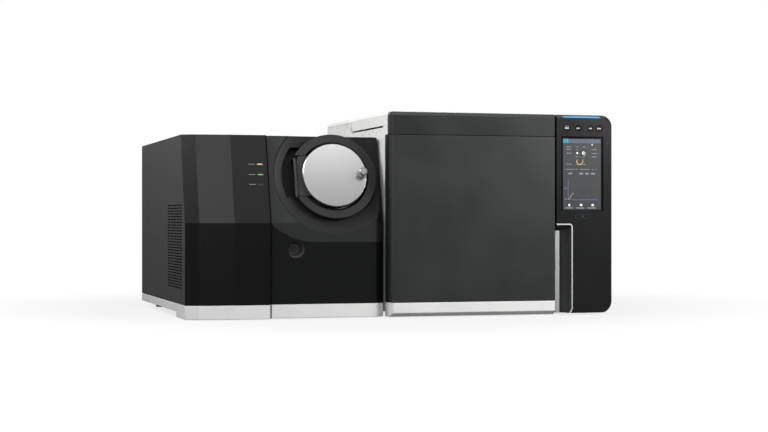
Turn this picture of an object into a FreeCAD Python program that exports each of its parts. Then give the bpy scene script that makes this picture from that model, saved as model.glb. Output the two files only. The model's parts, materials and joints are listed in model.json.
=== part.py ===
import FreeCAD, Part
import math
import os
from FreeCAD import Vector, Placement, Rotation

# A bench gas chromatograph with a mass spectrometer at its left side.
# Working axes while the pieces are drawn: x to the right from the chromatograph's left wall,
# y to the back from its front face, z up from the lower edge of the base strips.
# At the end every piece is moved so that the origin is under the middle of the whole instrument.

# Overall sizes, in millimetres
gc_width = 512.8
gc_depth = 538.0
gc_height = 440.0
ms_width = 430.3
ms_depth = 657.5
ms_height = 385.8
unit_gap = 5.0
foot_drop = 2.0

# Materials and clearances
sheet = 1.5
panel_sheet = 2.0
skin = 3.0
seam = 0.8
clear = 0.3
run_fit = 0.05

# Chromatograph front
panel_width = 132.2
door_gap = 4.3
front_thick = 39.0
door_thick = 22.0
door_bottom = 30.5
lid_drop = 51.8
strip_top = 29.6
strip_chamfer = 8.0
column_drop = 2.5
panel_bottom = 2.0
panel_corner = 25.0
edge_round = 8.0
band = 7.3
band_back = 4.0
side_band = 4.3
lid_front_drop = 2.3
lid_band_side = 4.7
door_swing = 100.0

# Oven
oven_right = 48.3
oven_head = 40.2
oven_depth = 176.0
oven_left = 48.0
oven_bottom = 68.0
oven_round = 14.0
blanket = 36.0
liner_sheet = 1.2
plug_gap = 4.0
plug_depth = 22.0
seal_width = 12.0
baffle_space = 26.0
baffle_slots = 16
baffle_slot = 5.0
fan_radius = 78.0
shaft_radius = 4.0
heater_radius = 104.0
heater_wire = 4.0
wire_sides = 6
lead_x = 14.0
motor_radius = 36.0
motor_length = 54.0
motor_groove = 4.0
duct_low = 82.0
duct_high = 104.0

# Column on its holder
coil_radius = 92.0
coil_width = 24.0
coil_turns = 4
coil_swell = 1.6
coil_wall = 1.2
coil_aside = 12.0
coil_before = 43.0
coil_below = 18.0
cage_wire = 2.0

# Oven door
pin_radius = 4.0
pin_reach = 14.0

# Vent holes and slots in the chromatograph's walls
vent_radius = 2.0
vent_drop = 0.5
vent_step = 1.5
vent_places = (80.0, 108.0, 136.0, 164.0, 192.0, 220.0)

# Rear of both units
exhaust_size = 116.0
exhaust_z0 = 150.0
flap_rim = 6.0
flap_barrel = 3.0
flap_pin = 1.5
gc_inlet_inset = 62.8
rear_vent_width = 80.0
rear_vent_inset = 22.8
gc_inlet_z = 70.0
ms_inlet_x = -90.0
ms_inlet_z = 80.0
inlet_width = 27.0
inlet_height = 20.0
fitting_places = (60.0, 90.0, 120.0)
fitting_z = 330.0
fitting_shank = 5.0
fitting_tube = 3.2
fitting_reach = 22.0
rear_fan_inset = 90.3
rear_fan_z = 290.0
foreline_z = 150.0
foreline_rim = 20.0
foreline_bore = 8.0

# Lid over the injection bay
lid_round = 16.0
lid_hinge_y = 306.0
lid_side_drop = 30.0
slit = 3.3
slit_front = 55.5
front_strip_depth = 20.0
lid_pin_radius = 3.0
lid_post_inset = 30.0
lid_post_right = 44.6
deck_drop = 40.0
injector_x = 110.0
injector_y = 150.0
injector_radius = 13.0
nut_height = 16.0

# Control panel
button_radius = 8.2
button_drop = 29.4
button_places = (24.3, 51.0, 80.3, 100.8)
button_travel = 1.2
button_depth = 7.0
bar_left = 14.0
bar_right = 28.8
bar_low = 0.8
bar_height = 4.1
screen_inset = 13.4
screen_margin = 24.2
screen_drop = 49.9
screen_height = 160.4
screen_glass = 2.0
screen_rebate = 4.0
recess_top = 195.3
recess_width = 34.9
recess_depth = 33.0
recess_round = 8.0
trim_width = 3.0
trim_tail = 13.0
tail_round = 18.8
trim_proud = 0.4
handle_width = 11.3
handle_thick = 13.0
handle_bottom = 3.5
handle_top = 182.7

# Mass spectrometer front
crease_z = 200.0
lean = math.atan(52.0 / 185.8)
cover_depth = 100.0
left_cover_width = 177.4
left_face_y = 1.0
right_face_y = 22.0
facets = ((0.0, 24.5), (28.3, 12.0), (100.3, 2.0))
right_chamfer = 19.6
right_chamfer_depth = 14.0
light_inset = 17.3
light_z = (323.6, 301.7, 280.8)
light_width = 13.0
light_height = 5.0
side_skirt = 138.0
side_base = 11.2
ms_strip_top = 28.6
ms_strip_bottom = 0.0
strip_back = 58.0

# Round vacuum door, measured on the leaning face: u to the right, s up the slope from the crease
door_u = -111.5
door_s = 103.0
disc_radius = 70.0
disc_proud = 12.0
disc_back = 14.0
ring_inner = 75.0
ring_outer = 94.0
ring_proud = 3.0
dish_radius = 131.0
dish_depth = 10.0
pocket_radius = 112.0
pocket_low = 59.4
pocket_high = 170.0
pocket_right = -181.4
pocket_deep = 22.0
tab_low = 59.0
tab_high = 147.0
tab_left = -189.6
tab_round = 5.0
hinge_u = -194.5
hinge_h = -3.0
barrel_radius = 3.4
barrel_low = 61.0
barrel_high = 139.4
lug = 3.5
hinge_pin = 1.8
dish_steps = 5
knob_u = -53.0
knob_s = 106.0
knob_radius = 9.5
knob_length = 20.0
knob_shaft = 4.0
knurl = 0.8
knurl_teeth = 18
vacuum_swing = 110.0

# Power button in its cone
power_x = -199.8
power_z = 144.9
cone_mouth = 18.0
cone_throat = 13.0
cone_deep = 25.0
power_radius = 11.8
power_length = 12.0
power_travel = 2.0

# Grille in the left side of the mass spectrometer
grille_front = 62.0
grille_back = 251.0
grille_low = 62.0
grille_rows = 30
grille_pitch = 6.0
grille_columns = 5
grille_slot = 2.6
grille_web = 5.0
edge_gap = 2.4
corner_return = 5.0

# Vacuum system
chamber_left = -190.0
chamber_right = -33.0
chamber_front = 118.0
chamber_back = 560.0
chamber_low = 205.0
chamber_high = 366.0
chamber_bore = 52.0
bore_z = 281.0
bore_end = 535.0
neck_radius = 72.0
neck_bore = 45.0
o_ring_radius = 50.0
o_ring_wire = 2.5
seal_gap = o_ring_wire + 1.5 * clear
turbo_y = 330.0
turbo_radius = 62.0
turbo_height = 138.0
turbo_groove = 4.0
blade_levels = 3
blade_count = 10
rotor_radius = 44.0
rotor_shaft = 5.0
source_radius = 26.0
source_front = 150.0
source_length = 46.0
source_foot_x = 24.0
source_foot = 2.5
rod_radius = 6.0
rod_circle = 17.0
rod_length = 250.0
line_radius = 11.0
line_y = 175.0
foreline_length = 26.0
foreline_radius = 12.5
rear_fan_radius = 52.0
fan_blades = 7

# Feet
foot_radius = 17.0
foot_top = 11.2

# Places that follow from the sizes above
ms_left = -unit_gap - ms_width
ms_right = -unit_gap
column_x = gc_width - panel_width
column_top = gc_height - column_drop
door_width = column_x - door_gap
door_top = gc_height - lid_drop
lid_front_top = gc_height - lid_front_drop
lid_side_z = gc_height - lid_side_drop
deck_z = gc_height - deck_drop
vent_z = deck_z - vent_drop
opening_right = door_width - oven_right
opening_top = door_top - oven_head
frame_y = door_thick + 2.0
wall_y = front_thick + clear
lid_z = door_top + seam
seam_x = ms_left + left_cover_width
light_x = seam_x - light_inset
rear_fan_x = ms_left + rear_fan_inset
foreline_x = door_u
screen_left = column_x + screen_inset
screen_right = gc_width - screen_margin
screen_top = column_top - screen_drop
screen_bottom = screen_top - screen_height
button_x = [column_x + place for place in button_places]
button_z = column_top - button_drop
slope = math.tan(lean)
oven_back = front_thick + oven_depth
liner_back = oven_back + baffle_space
blanket_back = liner_back + blanket
oven_mid_x = (oven_left + opening_right) / 2.0
oven_mid_z = (oven_bottom + opening_top) / 2.0
coil_x = oven_mid_x + coil_aside
coil_y = oven_back - coil_before
coil_z = oven_mid_z - coil_below
exhaust_x0 = oven_mid_x - exhaust_size / 2.0
exhaust_x1 = exhaust_x0 + exhaust_size
exhaust_z1 = exhaust_z0 + exhaust_size
gc_inlet_x = gc_width - gc_inlet_inset
lid_posts = (lid_post_inset, column_x - lid_post_right)
lead_z = oven_mid_z + math.sqrt(heater_radius ** 2 - lead_x ** 2)
edge_pin = door_thick / 2.0
button_back = button_depth + button_travel + clear
lid_hinge_z = gc_height - lid_round
lid_back = lid_hinge_y + lid_round
hinge_cover = 7.0
total_back = ms_depth + foreline_length
shift = Vector(-(ms_left + gc_width) / 2.0, -(total_back - trim_proud) / 2.0, foot_drop)

X = Vector(1, 0, 0)
Y = Vector(0, 1, 0)
Z = Vector(0, 0, 1)
U = Vector(1, 0, 0)
S = Vector(0, math.sin(lean), math.cos(lean))
N = Vector(0, -math.cos(lean), math.sin(lean))


def box(x0, x1, y0, y1, z0, z1):
    """A block between two corners."""
    return Part.makeBox(x1 - x0, y1 - y0, z1 - z0, Vector(x0, y0, z0))


def rod(radius, start, axis, length):
    """A round bar from a start point along an axis."""
    return Part.makeCylinder(radius, length, start, axis)


def tube(outer, inner, start, axis, length):
    """A round bar with a round bore right through it."""
    return rod(outer, start, axis, length).cut(rod(inner, start, axis, length))


def prism(points, direction):
    """A flat outline of corner points, pushed along a direction."""
    wire = Part.makePolygon(list(points) + [points[0]])
    return Part.Face(wire).extrude(direction)


def joined(shapes):
    """One solid made of several that meet."""
    whole = shapes[0]
    for other in shapes[1:]:
        whole = whole.fuse(other)
    return whole.removeSplitter()


def without(shape, cutters):
    """A solid with several others taken out of it."""
    for cutter in cutters:
        shape = shape.cut(cutter)
    return shape


def group(shapes):
    """Separate solids that share one node."""
    return Part.makeCompound(shapes)


def rounded_block(x0, x1, y0, y1, z0, z1, radius):
    """A block whose four edges along y are rounded."""
    return fillet_where(box(x0, x1, y0, y1, z0, z1), radius, lambda e: along(e, Y))


def along(edge, axis):
    """True for a straight edge that runs along an axis."""
    if not isinstance(edge.Curve, Part.Line):
        return False
    return abs(abs(edge.tangentAt(edge.FirstParameter).dot(axis)) - 1.0) < 1e-6


def middle(edge):
    """The point half way along an edge."""
    return edge.valueAt((edge.FirstParameter + edge.LastParameter) / 2.0)


def fillet_where(shape, radius, chosen):
    """Rounds the edges that a test picks."""
    edges = [e for e in shape.Edges if chosen(e)]
    return shape.makeFillet(radius, edges) if edges else shape


def turned(profile, base, axis_x, axis_y):
    """A profile of (radius, height) points turned round axis_y at a base point."""
    points = [base + axis_x * r + axis_y * h for r, h in profile]
    face = Part.Face(Part.makePolygon(points + [points[0]]))
    return face.revolve(base, axis_y, 360)


def wire_profile(radius, centre, height):
    """A many-sided section of a round wire, for a ring."""
    points = []
    for i in range(wire_sides):
        a = 2 * math.pi * (i + 0.5) / wire_sides
        points.append((centre + radius * math.cos(a), height + radius * math.sin(a)))
    return points


def knurled(radius, base, axis_x, axis_y, h0, h1):
    """A toothed grip round axis_y, from height h0 to h1."""
    across = axis_y.cross(axis_x)
    points = []
    for i in range(2 * knurl_teeth):
        a = math.pi * i / knurl_teeth
        r = radius - knurl * (i % 2)
        points.append(base + axis_x * r * math.cos(a) + across * r * math.sin(a) + axis_y * h0)
    return prism(points, axis_y * (h1 - h0))


def on_face(u, s, h):
    """A point of the leaning front: u right, s up the slope, h out of it."""
    return Vector(0, right_face_y, crease_z) + U * u + S * s + N * h


def face_rod(radius, u, s, h0, h1):
    """A round bar square to the leaning front, from height h0 to h1."""
    return rod(radius, on_face(u, s, h0), N, h1 - h0)


def face_block(u0, u1, s0, s1, h0, h1):
    """A block square to the leaning front."""
    points = [on_face(u0, s0, h0), on_face(u1, s0, h0), on_face(u1, s1, h0), on_face(u0, s1, h0)]
    return prism(points, N * (h1 - h0))


def row(count, first, pitch):
    """Evenly spaced places."""
    return [first + pitch * i for i in range(count)]


# Chromatograph: base


def gc_base_pan():
    """Folded steel tray under the chromatograph."""
    x0, x1 = panel_sheet + clear, gc_width - panel_sheet - clear
    y0, y1 = front_thick + sheet, gc_depth - panel_sheet - clear
    outer = box(x0, x1, y0, y1, foot_top, strip_top)
    inner = box(x0 + sheet, x1 - sheet, y0 + sheet, y1 - sheet, foot_top + sheet, strip_top + 1)
    parts = [outer.cut(inner)]
    for y in (90.0, 220.0):
        beam = box(x0 + 0.5, x1 - 0.5, y, y + 30, foot_top + sheet - 0.1, strip_top)
        parts.append(beam.cut(box(x0 - 1, x1 + 1, y + sheet, y + 30 - sheet, foot_top, strip_top - sheet)))
    return joined(parts)


def gc_base_strip():
    """White strip below the door, with a sloped foot, hollow from behind."""
    depth = front_thick
    outline = [(strip_chamfer, 0), (0, strip_chamfer), (0, strip_top), (depth, strip_top), (depth, 0)]
    outer = prism([Vector(0, y, z) for y, z in outline], X * door_width)
    outer = fillet_where(outer, edge_pin, lambda e: along(e, Z) and middle(e).x < 1 and middle(e).y < 1)
    wall = panel_sheet
    inner = [
        (strip_chamfer + wall, -1),
        (strip_chamfer + wall, wall),
        (wall, strip_chamfer + wall),
        (wall, strip_top - wall),
        (depth + 1, strip_top - wall),
        (depth + 1, -1),
    ]
    hollow = prism([Vector(edge_pin, y, z) for y, z in inner], X * (door_width - edge_pin - wall))
    return outer.cut(hollow)


def rubber_feet():
    """Four feet under each unit."""
    feet = []
    for x0, x1, y1 in ((0, gc_width, gc_depth), (ms_left, ms_right, ms_depth)):
        for x in (x0 + 42, x1 - 42):
            for y in (78, y1 - 60):
                profile = [(0, 0), (foot_radius - 1, 0), (foot_radius, foot_drop + foot_top), (0, foot_drop + foot_top)]
                feet.append(turned(profile, Vector(x, y, -foot_drop), X, Z))
    return group(feet)


# Chromatograph: outer panels


def gc_left_panel():
    """White left wall: its top edge leaves the slit under the lid."""
    x1 = panel_sheet
    low = lid_side_z - 0.6
    points = [
        (wall_y, strip_top - 20),
        (gc_depth, strip_top - 20),
        (gc_depth, gc_height - 10),
        (lid_back + seam, gc_height - 10),
        (lid_back + seam, low),
        (lid_hinge_y + hinge_cover, low),
        (lid_hinge_y + hinge_cover, low - slit),
        (slit_front, low - slit),
        (slit_front, low),
        (wall_y, low),
    ]
    wall = prism([Vector(0, y, z) for y, z in points], X * x1)
    groove = box(-1, 0.8, 325, 379, strip_top, gc_height - 18)
    notch = box(-1, 0.8, 332, 377, gc_height - 17.5, gc_height - 12)
    vents = []
    for i, y in enumerate(vent_places):
        z = vent_z + vent_step * (1 - 2 * (i % 2))
        vents.append(rod(vent_radius, Vector(-1, y, z), X, 4))
    line = rod(line_radius + clear, Vector(-1, line_y, bore_z), X, 4)
    return without(wall, [groove, notch, line] + vents)


def gc_right_panel():
    """White right wall with two banks of cooling slots."""
    x0 = gc_width - panel_sheet
    wall = box(x0, gc_width, wall_y, gc_depth, strip_top - 20, gc_height - 10)
    cuts = []
    for y in (120, 330):
        for z in row(10, 250, 12):
            cuts.append(box(x0 - 1, gc_width + 1, y, y + 90, z, z + 4))
    return without(wall, cuts)


def gc_rear_panel():
    """Rear sheet with the exhaust mouth, a vent bank and the cut-outs for the inlets."""
    y0, y1 = gc_depth - panel_sheet, gc_depth
    x0, x1 = panel_sheet + clear, gc_width - panel_sheet - clear
    sheet_wall = box(x0, x1, y0, y1, foot_top, gc_height - 10)
    mouth = box(exhaust_x0, exhaust_x1, y0 - 1, y1 + 1, exhaust_z0, exhaust_z1)
    vent_x = gc_width - rear_vent_inset
    cuts = [mouth]
    for z in row(9, 250, 12):
        cuts.append(box(vent_x - rear_vent_width, vent_x, y0 - 1, y1 + 1, z, z + 4))
    cuts.append(inlet_block(gc_inlet_x, gc_inlet_z, y0 - 1, y1 + 1, clear))
    for x in fitting_places:
        cuts.append(rod(fitting_shank + clear, Vector(x, y0 - 1, fitting_z), Y, 4))
    return joined([without(sheet_wall, cuts), exhaust_duct(), flap_ears()])


def inlet_block(x, z, y0, y1, grow):
    """The body of a mains inlet, or with a grow the hole for it."""
    w, h = inlet_width / 2.0 + grow, inlet_height / 2.0 + grow
    return box(x - w, x + w, y0, y1, z - h, z + h)


def power_inlets():
    """A mains inlet with its three flat pins in the rear of each unit."""
    made = []
    for x, z, rear in ((gc_inlet_x, gc_inlet_z, gc_depth), (ms_inlet_x, ms_inlet_z, ms_depth)):
        flange = box(x - 22, x + 22, rear, rear + 2.5, z - 13, z + 13)
        body = inlet_block(x, z, rear - 26, rear, 0)
        socket = inlet_block(x, z, rear - 16, rear + 3, -3)
        pins = [box(x + dx - 1, x + dx + 1, rear - 18, rear - 2, z - 2.5, z + 2.5) for dx in (-7, 0, 7)]
        made.append(joined([flange, body]).cut(socket).fuse(group(pins)).removeSplitter())
    return group([s for shape in made for s in shape.Solids])


def gas_fittings():
    """Three brass gas inlets, each with a hexagon outside the rear panel and a tube stub."""
    made = []
    for x in fitting_places:
        shank = rod(fitting_shank, Vector(x, gc_depth - 30, fitting_z), Y, 30)
        corners = []
        for i in range(6):
            a = math.radians(60 * i)
            corners.append(Vector(x + 8 * math.cos(a), gc_depth, fitting_z + 8 * math.sin(a)))
        nut = prism(corners, Y * 8)
        stub = rod(fitting_tube, Vector(x, gc_depth + 8, fitting_z), Y, fitting_reach - 8)
        made.append(joined([shank, nut, stub]))
    return group(made)


def gc_top_cover():
    """Fixed top: the part behind the lid and the part over the right-hand column."""
    z0, z1 = gc_height - 10 + clear, gc_height
    back = box(0, gc_width, lid_back + seam, gc_depth, z0, z1)
    column = box(column_x, gc_width, wall_y, lid_back + seam + 1, z0, z1)
    outer = back.fuse(column).removeSplitter()

    def upper_rim(edge):
        m = middle(edge)
        if abs(m.z - z1) > 0.1:
            return False
        return m.x < 0.1 or m.x > gc_width - 0.1 or m.y > gc_depth - 0.1

    outer = fillet_where(outer, edge_round, upper_rim)
    t = sheet
    inner_back = box(t, gc_width - t, lid_back + seam + t, gc_depth - t, z0 - 1, z1 - t)
    inner_column = box(column_x + t, gc_width - t, wall_y + t, lid_back + seam + t + 1, z0 - 1, z1 - t)
    inner = inner_back.fuse(inner_column).removeSplitter()

    def inner_rim(edge):
        m = middle(edge)
        if abs(m.z - z1 + t) > 0.1:
            return False
        return m.x < t + 0.1 or m.x > gc_width - t - 0.1 or m.y > gc_depth - t - 0.1

    shell = outer.cut(fillet_where(inner, edge_round - t, inner_rim))
    drop = deck_z + sheet
    apron = box(panel_sheet + clear, column_x + t, lid_back + seam, lid_back + seam + t, drop, z0 + 0.1)
    cheek = box(column_x, column_x + t, wall_y, lid_back + seam + t, drop, z0 + 0.1)
    return joined([shell, apron, cheek])


def gc_top_deck():
    """Deck under the lid, with folded edges and a raised collar for the injector."""
    x0, x1 = panel_sheet + clear, column_x - clear
    y0, y1 = front_thick + clear, lid_back
    plate = box(x0, x1, y0, y1, deck_z, deck_z + sheet)
    rim = []
    low = opening_top + blanket + clear
    rim.append(box(x0, x1, y0, y0 + sheet, low, deck_z + 0.1))
    rim.append(box(x0, x1, y1 - sheet, y1, low, deck_z + 0.1))
    rim.append(box(x0, x0 + sheet, y0, y1, low, deck_z + 0.1))
    rim.append(box(x1 - sheet, x1, y0, y1, low, deck_z + 0.1))
    hole = rod(injector_radius + clear, Vector(injector_x, injector_y, low - 5), Z, 40)
    vent_space = box(x0 - 1, x0 + sheet + 1, vent_places[0] - 8, vent_places[-1] + 8, vent_z - 6, deck_z)
    return without(joined([plate] + rim), [hole, vent_space])


# Chromatograph: oven


def oven_front_frame():
    """Black folded frame round the oven mouth; the door closes on it."""
    x1 = door_width
    z0, z1 = strip_top + clear, door_top
    y0, y1 = frame_y, front_thick
    outer = box(0, x1, y0, y1, z0, z1)
    hollow = box(skin, x1 - skin, y0 + skin, y1 + 1, z0 + skin, z1 - skin)
    throat = box(oven_left - skin, opening_right + skin, y0, y1, oven_bottom - skin, opening_top + skin)
    mouth = box(oven_left, opening_right, y0 - 1, y1 + 1, oven_bottom, opening_top)
    return joined([outer.cut(hollow), throat]).cut(mouth)


def oven_space(grow, y0, y1):
    """The oven's inside, grown outwards by a wall."""
    return rounded_block(
        oven_left - grow,
        opening_right + grow,
        y0,
        y1,
        oven_bottom - grow,
        opening_top + grow,
        oven_round + grow,
    )


def oven_ports(extra):
    """What passes through the oven's walls: transfer line, injector, fan shaft, heater leads, exhaust."""
    top = opening_top - 5
    ports = [
        rod(line_radius + clear, Vector(-1, line_y, bore_z), X, oven_left + 6),
        rod(injector_radius + clear, Vector(injector_x, injector_y, top), Z, blanket + 30),
        rod(shaft_radius + 2, Vector(oven_mid_x, liner_back - 5, oven_mid_z), Y, blanket + 20),
        box(exhaust_x0 + extra, exhaust_x1 - extra, liner_back - 5, blanket_back + 5, duct_low, duct_high),
    ]
    for side in (-1, 1):
        start = Vector(oven_mid_x + side * lead_x, liner_back - 5, lead_z)
        ports.append(rod(heater_wire + clear, start, Y, blanket + 20))
    return ports


def oven_liner():
    """Stainless inner box of the oven, open to the front."""
    outer = oven_space(liner_sheet, front_thick + clear, liner_back)
    inner = oven_space(0, front_thick, liner_back - liner_sheet)
    return without(outer.cut(inner), oven_ports(clear))


def oven_blanket():
    """Ceramic fibre round the liner."""
    grow = liner_sheet + clear
    top = opening_top + blanket
    low = strip_top + clear
    outer = box(oven_left - blanket, opening_right + blanket, front_thick + clear, blanket_back, low, top)
    inner = oven_space(grow, front_thick, liner_back + clear)
    return without(outer.cut(inner), oven_ports(0))


def oven_baffle():
    """Guard plate in front of the fan: radial inlet slots, and outlet slots at the corners."""
    y0 = oven_back
    plate = oven_space(-clear, y0, y0 + liner_sheet + 12)
    plate = plate.cut(oven_space(-clear - liner_sheet, y0 + liner_sheet, y0 + 20))
    centre = Vector(oven_mid_x, y0 - 1, oven_mid_z)
    cuts = []
    for i in range(baffle_slots):
        slot = box(-baffle_slot / 2.0, baffle_slot / 2.0, -1, 5, 24 if i % 2 else 18, fan_radius - 16)
        slot.Placement = Placement(centre, Rotation(Y, 360.0 / baffle_slots * i))
        cuts.append(slot)
    for sx in (-1, 1):
        for sz in (-1, 1):
            for i in range(4):
                x = oven_mid_x + sx * (86 + 11 * i)
                z = oven_mid_z + sz * 108
                cuts.append(box(x - 2.5, x + 2.5, y0 - 1, y0 + 3, z - 16, z + 16))
    return without(plate, cuts)


def oven_heater():
    """Sheathed heating ring round the fan, with two leads out through the back."""
    y = oven_back + 13.0
    centre = Vector(oven_mid_x, y, oven_mid_z)
    ring_solid = turned(wire_profile(heater_wire - 0.2, heater_radius, 0), centre, X, Y)
    gap = box(-lead_x + 2, lead_x - 2, -10, 10, heater_radius - 12, heater_radius + 12)
    gap.translate(centre)
    leads = []
    for side in (-1, 1):
        start = Vector(oven_mid_x + side * lead_x, y - heater_wire, lead_z)
        leads.append(rod(heater_wire, start, Y, blanket_back + 10 - y))
    return joined([ring_solid.cut(gap)] + leads)


def oven_fan():
    """Centrifugal wheel with straight blades on its shaft."""
    y0 = oven_back + 7.0
    centre = Vector(oven_mid_x, y0, oven_mid_z)
    back = rod(fan_radius, centre + Y * 12, Y, 1.5)
    hub = rod(11, centre, Y, 13)
    shaft = rod(shaft_radius, centre, Y, blanket_back + 24 - y0)
    parts = [back, hub, shaft]
    for i in range(10):
        blade = box(-0.75, 0.75, 0, 12.5, 34, fan_radius - 1)
        blade.Placement = Placement(centre, Rotation(Y, 36 * i))
        parts.append(blade)
    return joined(parts)


def fan_motor():
    """Finned motor on the back of the oven."""
    base = Vector(oven_mid_x, blanket_back, oven_mid_z)
    profile = [(0, 0), (motor_radius + 14, 0), (motor_radius + 14, 3), (motor_radius, 3)]
    g = motor_groove
    for y in row(3, 9.0, 13.0):
        profile += [(motor_radius, y), (motor_radius - g, y + g), (motor_radius, y + 2 * g)]
    profile += [(motor_radius, motor_length), (0, motor_length)]
    body = turned(profile, base, X, Y)
    return body.cut(rod(shaft_radius + run_fit, base - Y, Y, 27))


def column_coil():
    """Wound capillary column: a ring of turns, one beside the other."""
    pitch = coil_width / coil_turns
    profile = [(coil_radius, 0.0)]
    for i in range(coil_turns):
        profile.append((coil_radius + coil_swell, pitch * (i + 0.5)))
        profile.append((coil_radius, pitch * (i + 1)))
    profile.append((coil_radius - coil_wall, coil_width))
    profile.append((coil_radius - coil_wall, 0.0))
    return turned(profile, Vector(coil_x, coil_y, coil_z), X, Y)


def column_cage():
    """Wire holder of the column: two crossed bars, clips round the turns, and two hooks to the baffle."""
    inside = coil_radius - coil_wall - clear
    outside = coil_radius + coil_swell + clear
    y_front = coil_y - clear - cage_wire
    y_rear = coil_y + coil_width + clear + cage_wire
    parts = []
    bar, half = 1.5 * cage_wire, cage_wire
    parts.append(rod(3 * cage_wire, Vector(coil_x, y_front - half, coil_z), Y, 2 * half))
    for i in range(4):
        arm = joined(
            [
                box(-half, half, -half, half, 2 * cage_wire, outside + bar),
                box(-half, half, -half, y_rear - y_front, outside, outside + bar),
                box(-half, half, -half, y_rear - y_front, inside - bar, inside),
            ]
        )
        arm.Placement = Placement(Vector(coil_x, y_front, coil_z), Rotation(Y, 45 + 90 * i))
        parts.append(arm)
    for i in (0, 3):
        a = math.radians(45 + 90 * i)
        x = coil_x + (inside - bar / 2.0) * math.sin(a)
        z = coil_z + (inside - bar / 2.0) * math.cos(a)
        parts.append(rod(1.2, Vector(x, y_rear - 1, z), Y, oven_back - y_rear + 1))
    return joined(parts)


def injection_port():
    """Heated injector through the deck and the oven's roof, with its column nut below."""
    base = Vector(injector_x, injector_y, opening_top - 16)
    top = deck_z + sheet - opening_top + 16
    profile = [
        (0, 0),
        (4, 0),
        (4, 12),
        (injector_radius, 14),
        (injector_radius, top + clear),
        (injector_radius + 9, top + clear),
        (injector_radius + 9, top + 4),
        (injector_radius - 2, top + 4),
        (injector_radius - 2, top + 9),
        (0, top + 9),
    ]
    return turned(profile, base, X, Z)


def septum_nut():
    """Knurled cap on the injector, with the needle's guide hole."""
    base = Vector(injector_x, injector_y, deck_z + sheet + 9)
    r, h = injector_radius, nut_height
    grip = knurled(r, base, X, Z, 0, h - 2)
    crown = turned([(0, h - 2.1), (r - 2, h - 2.1), (r - 3.5, h), (0, h)], base, X, Z)
    guide = turned([(0, -1), (1.2, -1), (1.2, h - 3), (6, h + 0.1), (0, h + 0.1)], base, X, Z)
    return joined([grip, crown]).cut(guide)


def exhaust_flap():
    """Hinged flap over the exhaust mouth in the rear panel."""
    y0 = gc_depth + clear
    x0, x1 = exhaust_x0 - flap_rim, exhaust_x1 + flap_rim
    low, hinge_z = exhaust_z0 - flap_rim, exhaust_z1 + flap_rim + flap_barrel
    plate = box(x0, x1, y0, y0 + sheet, low, hinge_z - 1)
    lip = box(x0, x1, y0, y0 + 8, low, low + sheet)
    barrel = rod(flap_barrel, Vector(x0, y0 + flap_barrel, hinge_z), X, x1 - x0)
    bore = rod(flap_pin + run_fit, Vector(x0 - 1, y0 + flap_barrel, hinge_z), X, x1 - x0 + 2)
    return joined([plate, lip, barrel]).cut(bore)


def flap_ears():
    """Bent ears on the rear panel that carry the flap's rod."""
    y0 = gc_depth + clear + flap_barrel
    x0, x1 = exhaust_x0 - flap_rim, exhaust_x1 + flap_rim
    hinge_z = exhaust_z1 + flap_rim + flap_barrel
    pin = rod(flap_pin, Vector(x0 - 4, y0, hinge_z), X, x1 - x0 + 8)
    ears = []
    for a, b in ((x0 - 3, x0 - 1), (x1 + 1, x1 + 3)):
        ears.append(box(a, b, gc_depth, y0 + flap_barrel, hinge_z - 5, hinge_z + 5))
    return joined([pin] + ears)


def exhaust_duct():
    """Sheet duct from the oven's back wall up to the exhaust mouth."""
    t = sheet
    x0, x1 = exhaust_x0 + clear, exhaust_x1 - clear
    y0, y1 = blanket_back, gc_depth - panel_sheet + 0.1
    outline = [(y0, duct_low), (y1, exhaust_z0), (y1, exhaust_z1), (y0, duct_high + 36)]
    inner = [(y0 - 1, duct_low + t), (y1 + 1, exhaust_z0 + t), (y1 + 1, exhaust_z1 - t), (y0 - 1, duct_high + 36 - t)]
    outer = prism([Vector(x0, y, z) for y, z in outline], X * (x1 - x0))
    hollow = prism([Vector(x0 + t, y, z) for y, z in inner], X * (x1 - x0 - 2 * t))
    return outer.cut(hollow)


# Chromatograph: oven door


def door_outline(inset, y1):
    """Plan of the door: its left edge is a half round that turns about the hinge pins."""
    r = edge_pin
    top = Part.LineSegment(Vector(r, inset, 0), Vector(door_width - inset, inset, 0))
    right = Part.LineSegment(Vector(door_width - inset, inset, 0), Vector(door_width - inset, y1, 0))
    bottom = Part.LineSegment(Vector(door_width - inset, y1, 0), Vector(r, y1, 0))
    left = Part.Arc(Vector(r, y1, 0), Vector(inset, r, 0), Vector(r, inset, 0))
    return Part.Face(Part.Wire([top.toShape(), right.toShape(), bottom.toShape(), left.toShape()]))


def oven_door_panel():
    """Black moulded front of the door, hollow behind."""
    outer = door_outline(0, door_thick)
    outer.translate(Z * door_bottom)
    solid = outer.extrude(Z * (door_top - door_bottom))
    hollow = box(door_thick, door_width - skin, skin, door_thick + 1, door_bottom + skin, door_top - skin)
    pins = [rod(pin_radius + run_fit, Vector(edge_pin, edge_pin, door_bottom - 1), Z, pin_reach + 1)]
    pins.append(rod(pin_radius + run_fit, Vector(edge_pin, edge_pin, door_top - pin_reach), Z, pin_reach + 1))
    return without(solid, [hollow] + pins)


def plug_block(inset, y0, y1):
    """The raised plug on the back of the door, or what fills it."""
    g = plug_gap + inset
    return rounded_block(
        oven_left + g, opening_right - g, y0, y1, oven_bottom + g, opening_top - g, oven_round - g
    )


def oven_door_insulation():
    """Fibre pad inside the door and its plug."""
    y1 = door_thick - sheet
    pad = box(door_thick, door_width - skin, skin, y1, door_bottom + skin, door_top - skin)
    return joined([pad, plug_block(sheet + clear, y1 - 1, door_thick + plug_depth - sheet - clear)])


def oven_door_liner():
    """Steel back of the door with its hollow plug that fits the oven mouth."""
    y0 = door_thick - sheet
    plate = box(door_thick, door_width - skin, y0, door_thick, door_bottom + skin, door_top - skin)
    plug = plug_block(0, door_thick - 0.1, door_thick + plug_depth)
    return joined([plate, plug]).cut(plug_block(sheet, y0 - 1, door_thick + plug_depth - sheet))


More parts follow.
